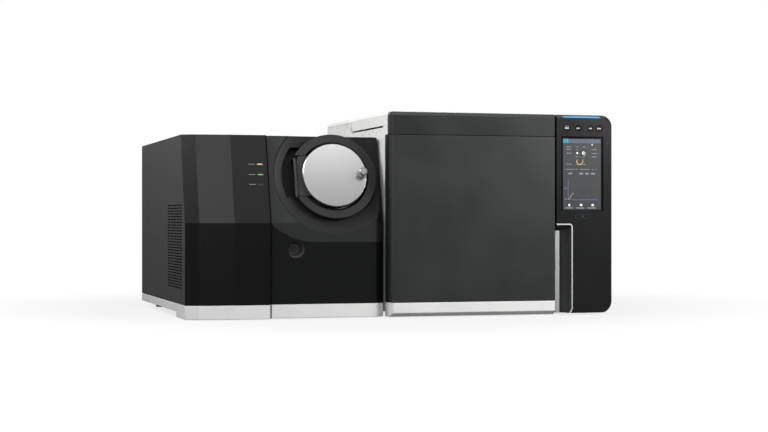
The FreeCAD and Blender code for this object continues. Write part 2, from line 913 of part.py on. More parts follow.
def oven_door_seal():
    """Flat gasket round the plug."""
    y0, y1 = door_thick, frame_y - clear
    out = seal_width
    outer = rounded_block(
        oven_left - out, opening_right + out, y0, y1, oven_bottom - out, opening_top + out, oven_round + out
    )
    inner = oven_space(0, y0 - 1, y1 + 1)
    return outer.cut(inner)


def oven_door_handle():
    """Bright grip bar along the door's free edge, reaching below the door."""
    x0, x1 = door_width, door_width + handle_width
    bar = box(x0, x1, 0, handle_thick, handle_bottom, handle_top)
    return fillet_where(bar, 2.0, lambda e: along(e, Z))


def door_hinge_pins():
    """Two pins on brackets: one on the base strip, one on the frame's top edge."""
    parts = []
    low = rod(pin_radius, Vector(edge_pin, edge_pin, strip_top), Z, door_bottom - strip_top + pin_reach - 1)
    parts.append(low)
    high = door_top - pin_reach + 1
    pin = rod(pin_radius, Vector(edge_pin, edge_pin, high), Z, door_top + clear - high)
    arm = box(edge_pin - pin_radius, edge_pin + pin_radius, edge_pin, frame_y + 6, door_top + 0.1, door_top + seam - 0.1)
    parts.append(joined([pin, arm]))
    return parts


# Chromatograph: lid


def lid_cover():
    """White lid: its rear edge is rounded about the hinge so that it turns freely."""
    y0 = front_strip_depth + clear
    x1 = door_width
    r = lid_round

    def section(inset, z_low, y_front, y_step):
        top = gc_height - inset
        ax, az = lid_hinge_y, lid_hinge_z
        reach = r - inset
        a = math.asin((az - z_low) / reach) if az - z_low < reach else math.pi / 2
        end = Vector(0, ax + reach * math.cos(a), z_low)
        mid = Vector(0, ax + reach * math.cos(math.pi / 6), az + reach * math.sin(math.pi / 6))
        points = [Vector(0, y_front, top), Vector(0, ax, top)]
        edges = [Part.LineSegment(points[0], points[1]).toShape()]
        edges.append(Part.Arc(points[1], mid, end).toShape())
        edges.append(Part.LineSegment(end, Vector(0, y_step, z_low)).toShape())
        low_front = lid_z + 0.6
        edges.append(Part.LineSegment(Vector(0, y_step, z_low), Vector(0, y_step, low_front)).toShape())
        edges.append(Part.LineSegment(Vector(0, y_step, low_front), Vector(0, y_front, low_front)).toShape())
        edges.append(Part.LineSegment(Vector(0, y_front, low_front), points[0]).toShape())
        return Part.Face(Part.Wire(edges))

    outer = section(0, lid_side_z, y0, front_thick).extrude(X * x1)

    def left_rim(edge):
        m = middle(edge)
        return m.x < 0.1 and m.z > gc_height - 0.1

    outer = fillet_where(outer, edge_round, left_rim)
    t = panel_sheet
    z_low = lid_side_z - 30
    hollow = box(t, x1 - t, y0 + t, lid_hinge_y, z_low, gc_height - t)
    hollow = fillet_where(hollow, edge_round - t, lambda e: along(e, Y) and middle(e).x < t + 1 and middle(e).z > 420)
    round_hollow = rod(r - t, Vector(t, lid_hinge_y, lid_hinge_z), X, x1 - 2 * t)
    shell = without(outer, [hollow, round_hollow])
    bore = rod(lid_pin_radius + run_fit, Vector(t, lid_hinge_y, lid_hinge_z), X, x1 - 2 * t)
    bosses = []
    for x in (t - 0.1, x1 - t - 8 + 0.1):
        disc = rod(8, Vector(x, lid_hinge_y, lid_hinge_z), X, 8)
        web = box(x, x + 8, lid_hinge_y - 4, lid_hinge_y + 4, lid_hinge_z, gc_height - t + 0.1)
        bosses += [disc, web]
    slots = [box(x - 1, x + 11, lid_hinge_y, lid_back + 1, z_low, lid_hinge_z + 5) for x in lid_posts]
    return without(joined([shell] + bosses), [bore] + slots)


def lid_front():
    """Black strip at the lid's front, bevelled along its top and its left end, hollow behind."""
    x1, y1 = door_width, front_strip_depth
    crease = lid_front_top - band

    def plan(z, side, front):
        r = edge_round - front
        k = r * (1 - math.sqrt(0.5))
        a, b = side, front
        edges = [
            Part.LineSegment(Vector(a, y1, z), Vector(a, b + r, z)).toShape(),
            Part.Arc(Vector(a, b + r, z), Vector(a + k, b + k, z), Vector(a + r, b, z)).toShape(),
            Part.LineSegment(Vector(a + r, b, z), Vector(x1, b, z)).toShape(),
            Part.LineSegment(Vector(x1, b, z), Vector(x1, y1, z)).toShape(),
            Part.LineSegment(Vector(x1, y1, z), Vector(a, y1, z)).toShape(),
        ]
        return Part.Wire(edges)

    lower = Part.Face(plan(lid_z, 0, 0)).extrude(Z * (crease - lid_z))
    bevel = Part.makeLoft([plan(crease, 0, 0), plan(lid_front_top, lid_band_side, band_back)], True, True)
    t = skin
    inner = [(t, lid_z + t), (t, crease - 1), (t + band_back, lid_front_top - t), (y1 + 1, lid_front_top - t)]
    inner += [(y1 + 1, lid_z + t)]
    start = edge_round + lid_band_side
    hollow = prism([Vector(start, y, z) for y, z in inner], X * (x1 - start - t))
    return joined([lower, bevel]).cut(hollow)


def lid_hinge_rod():
    """Rod through the lid's bosses, carried by posts on the deck."""
    x0, x1 = panel_sheet + clear, door_width - panel_sheet - clear
    rod_solid = rod(lid_pin_radius, Vector(x0, lid_hinge_y, lid_hinge_z), X, x1 - x0)
    posts = []
    for x in lid_posts:
        posts.append(box(x, x + 10, lid_hinge_y - 5, lid_hinge_y + 5, deck_z + sheet, lid_hinge_z + 5))
    return joined([rod_solid] + posts)


# Chromatograph: control column


def column_outline(y, inset, top_band, right_band):
    """Front view of the control column at a depth: square corners at left, round ones at right."""
    x0, x1 = column_x + inset, gc_width - inset - right_band
    z0, z1 = panel_bottom + inset, column_top - inset - top_band
    r = panel_corner - inset - right_band
    k = r * (1 - math.sqrt(0.5))
    edges = [
        Part.LineSegment(Vector(x0, y, z0), Vector(x1 - r, y, z0)).toShape(),
        Part.Arc(Vector(x1 - r, y, z0), Vector(x1 - k, y, z0 + k), Vector(x1, y, z0 + r)).toShape(),
        Part.LineSegment(Vector(x1, y, z0 + r), Vector(x1, y, z1 - r)).toShape(),
        Part.Arc(Vector(x1, y, z1 - r), Vector(x1 - k, y, z1 - k), Vector(x1 - r, y, z1)).toShape(),
        Part.LineSegment(Vector(x1 - r, y, z1), Vector(x0, y, z1)).toShape(),
        Part.LineSegment(Vector(x0, y, z1), Vector(x0, y, z0)).toShape(),
    ]
    return Part.Wire(edges)


def column_body(inset, y1):
    """The column's form: a flat front, then a sloped band at the top and the right, then straight walls."""
    front = column_outline(inset, inset, band, side_band)
    full = column_outline(inset + band_back, inset, 0, 0)
    bevel = Part.makeLoft([front, full], True, True)
    return joined([bevel, Part.Face(full).extrude(Y * (y1 - inset - band_back))])


def recess_front(inset, y0, y1):
    """The recess seen from the front, with the trim's width taken off by an inset: its right side curves in at the foot."""
    x0, x1 = column_x - 1, column_x + recess_width + trim_width - inset
    low, high = panel_bottom - 1, recess_top + trim_width - inset
    r = recess_round - inset
    k = r * (1 - math.sqrt(0.5))
    big = tail_round - inset
    foot = panel_bottom + trim_tail
    drop = foot - low
    bend = math.asin(drop / big)
    centre_x = x1 - big
    mid = Vector(centre_x + big * math.cos(bend / 2), y0, foot - big * math.sin(bend / 2))
    end = Vector(centre_x + big * math.cos(bend), y0, low)
    edges = [
        Part.LineSegment(Vector(x0, y0, high), Vector(x1 - r, y0, high)).toShape(),
        Part.Arc(Vector(x1 - r, y0, high), Vector(x1 - k, y0, high - k), Vector(x1, y0, high - r)).toShape(),
        Part.LineSegment(Vector(x1, y0, high - r), Vector(x1, y0, foot)).toShape(),
        Part.Arc(Vector(x1, y0, foot), mid, end).toShape(),
        Part.LineSegment(end, Vector(x0, y0, low)).toShape(),
        Part.LineSegment(Vector(x0, y0, low), Vector(x0, y0, high)).toShape(),
    ]
    return Part.Face(Part.Wire(edges)).extrude(Y * (y1 - y0))


def recess_space(grow):
    """Finger space beside the grip: deepest at the left, with a curved floor and a sloped roof."""
    x0 = column_x - 1 if grow == 0 else column_x + skin
    x1 = column_x + recess_width + grow
    depth = recess_depth + grow
    z0 = panel_bottom - 1
    z1 = recess_top + grow
    y_in = -1.0
    edges = [
        Part.LineSegment(Vector(x0, y_in, z0), Vector(x1, y_in, z0)).toShape(),
        Part.Arc(
            Vector(x1, y_in, z0),
            Vector(x0 + 0.72 * (x1 - x0), depth * 0.62, z0),
            Vector(x0, depth, z0),
        ).toShape(),
        Part.LineSegment(Vector(x0, depth, z0), Vector(x0, y_in, z0)).toShape(),
    ]
    scoop = Part.Face(Part.Wire(edges)).extrude(Z * (z1 - z0))
    roof = prism(
        [Vector(x0 - 1, -1, z1), Vector(x0 - 1, depth + 1, z1 - 16), Vector(x0 - 1, depth + 1, z1 + 1), Vector(x0 - 1, -1, z1 + 1)],
        X * (x1 - x0 + 2),
    )
    return scoop.cut(roof)


def panel_housing():
    """Black moulded column front: screen seat, button holes, bar slot and finger recess."""
    outer = column_body(0, front_thick)
    shell = outer.cut(column_body(skin, front_thick + 1))
    scoop = recess_space(0).common(recess_front(trim_width, -1, front_thick))
    tub = recess_space(skin).common(outer)
    shell = joined([shell, tub]).cut(scoop)
    cuts = [box(screen_left, screen_right, -1, screen_glass, screen_bottom, screen_top)]
    window = screen_rebate
    cuts.append(
        box(screen_left + window, screen_right - window, 0, skin + 1, screen_bottom + window, screen_top - window)
    )
    for x in button_x:
        cuts.append(rod(button_radius + run_fit, Vector(x, -1, button_z), Y, skin + 2))
    cuts.append(light_slot(0))
    return without(shell, cuts)


def light_slot(inset):
    """The seat of the light bar in the sloped band over the column's front."""
    x0, x1 = column_x + bar_left, gc_width - bar_right
    z0 = column_top - band + bar_low
    z1 = z0 + bar_height
    return box(x0 + inset, x1 - inset, -1, skin + band_back + 1, z0 + inset, z1 - inset)


def light_bar():
    """Clear bar that glows above the buttons, flush with the sloped band."""
    body = column_body(0, front_thick)
    body.translate(Y * clear)
    return light_slot(clear).common(body)


def touch_screen():
    """Glass and display set into the column."""
    g = clear
    glass = box(screen_left + g, screen_right - g, 0.2, screen_glass, screen_bottom + g, screen_top - g)
    w = screen_rebate + g
    module = box(screen_left + w, screen_right - w, screen_glass, 9, screen_bottom + w, screen_top - w)
    return joined([glass, module])


def handle_trim():
    """Bright strip that frames the recess at its top and right."""
    face = recess_front(0, -trim_proud, 0)
    room = box(column_x, gc_width, -1, 1, panel_bottom, column_top)
    return face.cut(recess_front(trim_width, -trim_proud - 1, 1)).common(room)


def panel_button(x):
    """One round key with a square collar behind the panel."""
    half = button_radius + 1.5
    cap = rod(button_radius, Vector(x, 0, button_z), Y, skin + clear + 0.5)
    collar = box(x - half, x + half, skin + clear, button_depth, button_z - half, button_z + half)
    return joined([cap, collar])


def control_board():
    """Board in the column with its connectors and parts."""
    x0 = column_x + 22
    board = box(x0, x0 + 1.6, 60, 430, 120, 380)
    parts = [board]
    for y, z, w, h, t in (
        (90, 150, 46, 60, 14),
        (160, 140, 60, 40, 8),
        (250, 150, 36, 36, 6),
        (330, 140, 70, 50, 22),
        (100, 260, 30, 60, 10),
        (170, 240, 50, 50, 5),
        (250, 250, 24, 80, 12),
        (330, 260, 60, 60, 16),
    ):
        parts.append(box(x0 + 1.5, x0 + 1.6 + t, y, y + w, z, z + h))
    for y in (70, 180, 310, 400):
        parts.append(box(x0 - 3, x0, y, y + 20, foot_top + sheet, 200))
    key_board = box(column_x + 10, gc_width - 26, button_back, button_back + 1.6, button_z - 18, button_z + 14)
    return group([joined(parts), joined([key_board] + key_posts())])


def key_posts():
    """Posts that hold the key board to the back of the column front."""
    posts = []
    for x in (column_x + 14, (column_x + gc_width) / 2.0 - 0.7, gc_width - 30):
        posts.append(box(x - 2, x + 2, skin, button_back + 0.1, button_z - 17, button_z - 13))
    return posts


# Mass spectrometer: covers


def cover_points(shape_points, z, inset, back):
    """Plan of a front cover at a height: front corners, moved back with the lean, and a straight back."""
    set_back = max(0.0, z - crease_z) * slope
    front = [Vector(x, y + set_back, z) for x, y in inset_line(shape_points, inset)]
    return front + [Vector(front[-1].x, back, z), Vector(front[0].x, back, z)]


def inset_line(points, inset):
    """A front line moved inwards: each facet goes back by the inset, the two ends go in by it."""
    if inset == 0:
        return list(points)
    lines = []
    for (xa, ya), (xb, yb) in zip(points[:-1], points[1:]):
        length = math.hypot(xb - xa, yb - ya)
        nx, ny = -(yb - ya) / length, (xb - xa) / length
        lines.append(((xa + nx * inset, ya + ny * inset), (xb - xa, yb - ya)))
    left, right = points[0][0] + inset, points[-1][0] - inset
    made = []
    (px, py), (dx, dy) = lines[0]
    made.append((left, py + dy * (left - px) / dx))
    for ((ax, ay), (adx, ady)), ((bx, by), (bdx, bdy)) in zip(lines[:-1], lines[1:]):
        cross = adx * bdy - ady * bdx
        t = ((bx - ax) * bdy - (by - ay) * bdx) / cross
        made.append((ax + adx * t, ay + ady * t))
    (px, py), (dx, dy) = lines[-1]
    made.append((right, py + dy * (right - px) / dx))
    return made


def leaning_block(points, inset, back, z0, z1):
    """A block with facets that stands upright below the crease and leans back above it."""
    levels = [z0] + ([crease_z] if z0 < crease_z < z1 else []) + [z1]
    wires = []
    for z in levels:
        plan = cover_points(points, z, inset, back)
        wires.append(Part.makePolygon(plan + [plan[0]]))
    return Part.makeLoft(wires, True, True)


def left_front_line():
    """Facets of the left cover from its outer corner to the seam."""
    line = [(ms_left + x, left_face_y + y) for x, y in facets]
    return line + [(seam_x - seam / 2.0, left_face_y)]


def right_front_line():
    """The right cover's flat face and its chamfer beside the chromatograph."""
    corner = ms_right - right_chamfer
    return [
        (seam_x + seam / 2.0, right_face_y),
        (corner, right_face_y),
        (ms_right, right_face_y + right_chamfer_depth),
    ]


def hollow_cover(points):
    """A front cover as a moulded shell, open at the back and below."""
    outer = leaning_block(points, 0, cover_depth, ms_strip_top + seam, ms_height)
    inner = leaning_block(points, skin, cover_depth + 1, ms_strip_top, ms_height - skin)
    return outer.cut(inner)


def ms_front_cover_left():
    """Left cover with three facets and seats for the three lights."""
    shell = hollow_cover(left_front_line())
    cuts = [light_block(i, 0) for i in range(3)]
    cuts.append(side_outline(-seam, ms_left - 1, ms_left + skin + 0.5))
    return without(shell, cuts)


def light_block(i, inset):
    """One status light, or with no inset its seat in the left cover."""
    z = light_z[i]
    y = left_face_y + (z - crease_z) * slope
    w, h = light_width / 2.0 - inset, light_height / 2.0 - inset
    block = box(light_x - w, light_x + w, clear if inset else -6, skin + 1, -h, h)
    block.Placement = Placement(Vector(0, y, z), Rotation(X, -math.degrees(lean)))
    return block


def status_lights():
    """Three small lights in a column."""
    return group([light_block(i, clear) for i in range(3)])


def dish_profile():
    """Quarter ellipse from the face down to the ring, as (radius, depth) points."""
    points = []
    for i in range(dish_steps + 1):
        a = math.pi / 2 * i / dish_steps
        r = ring_outer - 6 + (dish_radius - ring_outer + 6) * math.cos(a)
        points.append((r, -dish_depth * math.sin(a)))
    return points


def ms_front_cover_right():
    """Right cover: leaning face with the round dish, the raised ring, the hinge pocket and the button cone."""
    shell = hollow_cover(right_front_line())
    centre = on_face(door_u, door_s, 0)
    dish = turned(dish_profile() + [(0, -dish_depth), (0, 12), (dish_radius, 12)], centre, U, N)
    backing = turned(
        [(0, -dish_depth - skin), (dish_radius - 4, -dish_depth - skin), (dish_radius, -1), (0, -1)], centre, U, N
    )
    body = leaning_block(right_front_line(), 0, cover_depth, ms_strip_top + seam, ms_height)
    backing = backing.common(body)
    ring_low = -pocket_deep - skin
    profile = [
        (ring_inner, ring_low),
        (ring_outer, ring_low),
        (ring_outer, ring_proud - 1.5),
        (ring_outer - 1.5, ring_proud),
        (ring_inner + 1.5, ring_proud),
        (ring_inner, ring_proud - 1.5),
    ]
    ring = turned(profile, centre, U, N)
    keep_in = leaning_block([(seam_x, right_face_y - 20), (ms_right - 8, right_face_y - 20)], 0, 400, 100, ms_height)
    above = rod(ring_outer + 1, centre - N * (dish_depth - 1), N, 40).common(
        box(door_u - 75, door_u + 75, 0, cover_depth, ms_height - 1, ms_height + 20)
    )
    ring = ring.common(keep_in.fuse(above))
    sink = face_rod(ring_outer - 1, door_u, door_s, ring_low, 10)
    shell = joined([shell, backing]).cut(dish).cut(sink)
    walls = pocket_space(skin, ring_low).common(body).cut(dish)
    whole = joined([shell, ring, walls])
    whole = whole.cut(pocket_space(0, -pocket_deep))
    whole = whole.cut(tab_space(clear + 1.2))
    cone = turned(
        [(0, 0), (cone_throat + skin, 0), (cone_mouth + skin, cone_deep + 2), (0, cone_deep + 2)],
        Vector(power_x, right_face_y + cone_deep + 2, power_z),
        X,
        Y * -1,
    )
    bore = turned(
        [(0, -1), (cone_throat, -1), (cone_throat, 2), (cone_mouth, cone_deep + 2), (cone_mouth, cone_deep + 9), (0, cone_deep + 9)],
        Vector(power_x, right_face_y + cone_deep + 2, power_z),
        X,
        Y * -1,
    )
    start = Vector(power_x, right_face_y + cone_deep + 1, power_z)
    guide = rod(power_radius + 4, start, Y, power_length)
    slide = rod(power_radius + run_fit, start - Y * 1, Y, power_length + 2)
    whole = joined([whole, cone.common(body), guide]).cut(bore).cut(slide)
    mouth = face_rod(ring_inner, door_u, door_s, -200, 10)
    whole = whole.cut(mouth.common(box(-400, 0, 0, cover_depth, 0, 500)))
    pin = face_rod_s(hinge_pin + run_fit, hinge_u, hinge_h, barrel_low - 1 - lug, barrel_high + 1 + lug)
    return joined([whole] + hinge_lugs()).cut(pin)


def face_rod_s(radius, u, h, s0, s1):
    """A round bar up the slope of the leaning front."""
    return rod(radius, on_face(u, s0, h), S, s1 - s0)


def hinge_lugs():
    """Two ears on the pocket's floor that hold the ends of the door's hinge pin, small enough for the tab to pass."""
    lugs = []
    half = barrel_radius - clear
    for s0, s1 in ((barrel_low - 1 - lug, barrel_low - 1), (barrel_high + 1, barrel_high + 1 + lug)):
        lugs.append(face_block(hinge_u - half, hinge_u + half, s0, s1, -pocket_deep - skin, hinge_h + half))
    return lugs


def pocket_space(grow, deep):
    """Pocket beside the hinge: between an arc left of the door and the hinge tab."""
    arc = face_rod(pocket_radius + grow, door_u, door_s, deep, 8 if grow == 0 else -1)
    slab = face_block(-260, pocket_right + grow, pocket_low - grow, pocket_high + grow, deep, 8 if grow == 0 else -1)
    return arc.common(slab).cut(face_rod(ring_outer - grow, door_u, door_s, deep - 1, 9))


def tab_space(room):
    """Where the hinge tab lies and turns, cut out of the ring."""
    main = face_block(hinge_u - 8, door_u - 60, tab_low - room, tab_high + room, -pocket_deep, 10)
    return main.fuse(face_block(door_u - ring_outer - 1, hinge_u, pocket_low, tab_high, -pocket_deep, 10))


def side_outline(grow, x0, x1):
    """The left wall's shape from the side: its front edge stands behind the front cover's corner."""
    y_edge = left_face_y + facets[0][1] + corner_return + grow
    low = ms_strip_top + seam + (2 * grow if grow < 0 else 0)
    high = ms_height - edge_gap - grow
    points = [
        (y_edge, low),
        (ms_depth, low),
        (ms_depth, high),
        (y_edge + (high - crease_z) * slope, high),
        (y_edge, crease_z),
    ]
    return prism([Vector(x0, y, z) for y, z in points], X * (x1 - x0))


def ms_side_cover():
    """Left wall as one sheet with its bank of cooling slots."""
    wall = side_outline(0, ms_left, ms_left + panel_sheet)
    step = (grille_back - grille_front - grille_web * (grille_columns - 1)) / grille_columns
    cuts = []
    for z in row(grille_rows, grille_low, grille_pitch):
        for i in range(grille_columns):
            y = grille_front + i * (step + grille_web)
            cuts.append(box(ms_left - 1, ms_left + panel_sheet + 1, y, y + step, z, z + grille_slot))
    return wall.cut(Part.makeCompound(cuts))


def ms_top_cover():
    """Sheet over the top, folded down the right side."""
    y0 = cover_depth + seam
    z1 = ms_height
    top = box(ms_left, ms_right, y0, ms_depth, z1 - panel_sheet, z1)
    right = box(ms_right - panel_sheet, ms_right, y0, ms_depth, ms_strip_top + seam, z1)
    line = rod(line_radius + clear, Vector(ms_right - 5, line_y, bore_z), X, 10)
    lip_top = ms_height - skin - 0.1
    parts = [top, right]
    gap = (door_u - ring_inner / 2.0, door_u + ring_inner / 2.0)
    for x0, x1 in ((ms_left + 12, seam_x - 8), (seam_x + 8, gap[0]), (gap[1], ms_right - 12)):
        parts.append(box(x0, x1, y0 - 10, y0 + 4, lip_top - sheet, lip_top))
        parts.append(box(x0, x1, y0 + 2, y0 + 4, lip_top - sheet, z1 - 1))
    cover = joined(parts).cut(line)
    return fillet_where(cover, 3.0, lambda e: along(e, Y) and middle(e).x > ms_right - 0.1 and middle(e).z > z1 - 0.1)


def ms_rear_panel():
    """Rear sheet with the fan mouth, the pump port and the mains inlet."""
    y0, y1 = ms_depth - panel_sheet, ms_depth
    x0, x1 = ms_left + panel_sheet + clear, ms_right - panel_sheet - clear
    wall = box(x0, x1, y0, y1, side_base, ms_height - panel_sheet - clear)
    mouth = rod(rear_fan_radius + 2, Vector(rear_fan_x, y0 - 1, rear_fan_z), Y, 4)
    cuts = [mouth, inlet_block(ms_inlet_x, ms_inlet_z, y0 - 1, y1 + 1, clear)]
    cuts.append(rod(foreline_radius + clear, Vector(foreline_x, y0 - 1, foreline_z), Y, 4))
    return joined([without(wall, cuts), rear_fan_guard(), rear_fan_case()])


def rear_fan_guard():
    """Wire guard over the rear fan: rings on two crossed bars, with a square frame."""
    y0 = ms_depth
    centre = Vector(rear_fan_x, y0, rear_fan_z)
    half = rear_fan_radius + 8
    frame = box(rear_fan_x - half, rear_fan_x + half, y0, y0 + 2, rear_fan_z - half, rear_fan_z + half)
    frame = frame.cut(rod(rear_fan_radius, centre - Y, Y, 4))
    parts = [frame]
    for r in (18, 35):
        parts.append(tube(r + 1, r - 1, centre, Y, 2))
    for i in range(4):
        spoke = box(-1, 1, 0, 2, -rear_fan_radius - 2, rear_fan_radius + 2)
        spoke.Placement = Placement(centre, Rotation(Y, 45 * i))
        parts.append(spoke)
    return joined(parts)


def rear_fan_case():
    """Square fan case inside the rear panel, with the motor's post on four struts."""
    y0, y1 = ms_depth - panel_sheet - 25, ms_depth - panel_sheet
    half = rear_fan_radius + 5
    case = box(rear_fan_x - half, rear_fan_x + half, y0, y1, rear_fan_z - half, rear_fan_z + half)
    case = case.cut(rod(rear_fan_radius, Vector(rear_fan_x, y0 - 1, rear_fan_z), Y, 30))
    parts = [case]
    for i in range(4):
        strut = box(-2, 2, 0, 3, 14, rear_fan_radius + 3)
        strut.Placement = Placement(Vector(rear_fan_x, y0, rear_fan_z), Rotation(Y, 45 + 90 * i))
        parts.append(strut)
    parts.append(rod(17, Vector(rear_fan_x, y0, rear_fan_z), Y, 3))
    parts.append(rod(2.0, Vector(rear_fan_x, y0, rear_fan_z), Y, 14))
    return joined(parts)


def cooling_fan():
    """Slanted blades on a hub cup."""
    y0 = ms_depth - panel_sheet - 25 + 4
    centre = Vector(rear_fan_x, y0, rear_fan_z)
    hub = rod(16, centre, Y, 17).cut(rod(2.0 + run_fit, centre - Y, Y, 12))
    parts = [hub]
    reach = math.sqrt((rear_fan_radius - 2) ** 2 - 6.0 ** 2)
    for i in range(fan_blades):
        blade = box(-1, 1, -8, 8, 13, reach)
        blade.rotate(Vector(0, 0, 0), Z, 38)
        blade = blade.common(box(-20, 20, -8, 8, 0, 60))
        blade.Placement = Placement(centre + Y * 8.5, Rotation(Y, 360.0 / fan_blades * i)).multiply(blade.Placement)
        parts.append(blade)
    return joined(parts)


# Mass spectrometer: base


def ms_base_tray():
    """Folded steel tray under the mass spectrometer."""
    x0, x1 = ms_left + panel_sheet + clear, ms_right - panel_sheet - clear
    y0, y1 = strip_back + clear, ms_depth - panel_sheet - clear
    outer = box(x0, x1, y0, y1, foot_top, ms_strip_top)
    inner = box(x0 + sheet, x1 - sheet, y0 + sheet, y1 - sheet, foot_top + sheet, ms_strip_top + 1)
    return joined([outer.cut(inner)] + chamber_stand())


def base_strips():
    """White strips below the fronts of both units; the leftmost runs back along the side."""
    left = strip_solid(left_front_line(), True)
    right = strip_solid(right_front_line(), False)
    return group([left, right, gc_base_strip()])


def strip_solid(points, runs_back):
    """A strip that follows a front cover's plan."""
    z0, z1 = ms_strip_bottom, ms_strip_top
    y1 = strip_back

    def plan(inset, back, low, high):
        line = inset_line(points, inset)
        corners = [Vector(x, y, low) for x, y in line]
        corners += [Vector(line[-1][0], back, low), Vector(line[0][0], back, low)]
        return prism(corners, Z * (high - low))

    solid = plan(0, y1, z0, z1).cut(plan(panel_sheet, y1 + 1, z0 - 1, z1 - panel_sheet))
    if not runs_back:
        return solid
    skirt = box(ms_left, ms_left + panel_sheet, y1 - 1, side_skirt, z0, z1)
    run = box(ms_left, ms_left + panel_sheet, side_skirt - 1, ms_depth, side_base, z1)
    return joined([solid, skirt, run])


# Mass spectrometer: vacuum door


def vacuum_door():
    """Silver disc with its flange and the groove for the O-ring."""
    centre = on_face(door_u, door_s, 0)
    flange = disc_radius - 4
    profile = [
        (0, -disc_back),
        (flange, -disc_back),
        (flange, -2),
        (disc_radius, -2),
        (disc_radius, disc_proud - 1.5),
        (disc_radius - 1.5, disc_proud),
        (0, disc_proud),
    ]
    solid = turned(profile, centre, U, N)
    wide = o_ring_wire + clear
    groove = turned(
        [
            (o_ring_radius - wide, -1),
            (o_ring_radius + wide, -1),
            (o_ring_radius + wide, o_ring_wire),
            (o_ring_radius - wide, o_ring_wire),
        ],
        on_face(door_u, door_s, -disc_back),
        U,
        N,
    )
    shaft_hole = face_rod(knob_shaft + run_fit, knob_u, knob_s, -disc_back - 1, disc_proud + 1)
    return without(solid, [groove, shaft_hole, tab_arm(clear)])


def vacuum_door_seal():
    """O-ring in the door's groove."""
    profile = wire_profile(o_ring_wire, o_ring_radius, -clear / 2.0)
    return turned(profile, on_face(door_u, door_s, -disc_back), U, N)


def tab_arm(grow):
    """The part of the hinge tab that is let into the disc's edge."""
    return face_block(
        door_u - disc_radius - 2, door_u - disc_radius + 22, tab_low + 12 - grow, tab_high - 12 + grow, -10 - grow, -2 + grow
    )


def vacuum_door_hinge():
    """Black tab beside the disc, with its barrel on the hinge line."""
    plate = face_block(tab_left, door_u - 52, tab_low, tab_high, -6, ring_proud)
    top_left = on_face(tab_left, tab_high, 0)

    def outer_corner(edge):
        return along(edge, N) and (middle(edge) - top_left).cross(N).Length < 0.1

    plate = fillet_where(plate, tab_round, outer_corner)
    plate = plate.cut(face_rod(disc_radius + clear, door_u, door_s, -20, 20))
    arm = tab_arm(0)
    neck = face_block(tab_left + 2, door_u - disc_radius - 1, tab_low + 12, tab_high - 12, -10, -2)
    barrel = rod(barrel_radius, on_face(hinge_u, barrel_low, hinge_h), S, barrel_high - barrel_low)
    half = barrel_radius - 1
    bridge = face_block(hinge_u, tab_left + 1, barrel_low, barrel_high, hinge_h - half, hinge_h + half)
    bore = rod(hinge_pin + run_fit, on_face(hinge_u, barrel_low - 1, hinge_h), S, barrel_high - barrel_low + 2)
    return joined([plate, neck, arm, barrel, bridge]).cut(bore)


def vacuum_hinge_pin():
    """Pin through the barrel; its ends sit in the pocket's two ears."""
    start = barrel_low - 0.5 - lug
    return rod(hinge_pin, on_face(hinge_u, start, hinge_h), S, barrel_high + 0.5 + lug - start)


def hinge_pins():
    """The fixed pins that the oven door, the lid and the vacuum door turn on."""
    return group(door_hinge_pins() + [lid_hinge_rod(), vacuum_hinge_pin()])


def vacuum_door_knob():
    """Knurled locking knob with its shaft through the door."""
    base = on_face(knob_u, knob_s, disc_proud)
    low, top, r = -disc_back - disc_proud, knob_length, knob_radius
    core = turned([(0, low), (knob_shaft, low), (knob_shaft, clear), (r - 1, clear), (r - 1, 4), (0, 4)], base, U, N)
    grip = knurled(r, base, U, N, 3, top - 3)
    crown = turned([(0, top - 4), (r - 1, top - 4), (r - 1, top - 1.5), (r - 2.5, top), (0, top)], base, U, N)
    return joined([core, grip, crown])


# Mass spectrometer: vacuum system


def vacuum_chamber():
    """Aluminium chamber: a sloped neck to the door, a long bore for the rods, and the pump port below."""
    block = box(chamber_left, chamber_right, chamber_front, chamber_back, chamber_low, chamber_high)
    front_h = -disc_back - seal_gap
    neck = face_rod(neck_radius, door_u, door_s, front_h - 100, front_h)
    neck = neck.cut(box(-400, 100, chamber_front + 40, 400, 0, 500))
    whole = joined([block, neck])
    mouth = face_rod(neck_bore, door_u, door_s, front_h - 76, front_h + 1)
    bore = rod(chamber_bore, Vector(door_u, chamber_front, bore_z), Y, bore_end - chamber_front)
    port = rod(rotor_radius + 8, Vector(door_u, turbo_y, chamber_low - 1), Z, bore_z - chamber_low)
    line = rod(line_radius + clear, Vector(door_u, line_y, bore_z), X, 200)
    latch = face_rod(knob_shaft - 0.5, knob_u, knob_s, front_h - 14, front_h + 1)
    return without(whole, [mouth, bore, port, line, latch])


def chamber_stand():
    """Two bent brackets that carry the chamber on the tray."""
    made = []
    for y in (170, 505):
        foot = box(chamber_left, chamber_right, y, y + 40, foot_top + sheet - 0.1, foot_top + sheet + 3)
        top = box(chamber_left, chamber_right, y, y + 40, chamber_low - 3, chamber_low)
        legs = [box(x, x + 3, y, y + 40, foot_top + sheet, chamber_low) for x in (chamber_left, chamber_right - 3)]
        made.append(joined([foot, top] + legs))
    return made


def ion_source():
    """Steel ion source with a repeller hole and an entrance for the sample."""
    base = Vector(door_u, source_front, bore_z)
    profile = [(0, 0), (source_radius - 6, 0), (source_radius - 6, 6), (source_radius, 6)]
    profile += [(source_radius, source_length - 8), (source_radius + 8, source_length - 8)]
    profile += [(source_radius + 8, source_length), (0, source_length)]
    body = turned(profile, base, X, Y)
    hole = rod(3, base + Y * 25, X, source_radius + 10)
    w = source_foot
    drop = math.sqrt(chamber_bore ** 2 - (source_foot_x + w) ** 2) - clear
    y1 = source_front + source_length - 1
    feet = []
    for x in (door_u - source_foot_x, door_u + source_foot_x):
        feet.append(box(x - w, x + w, y1 - 2 * w, y1, bore_z - drop, bore_z))
    return joined([body] + feet).cut(hole)


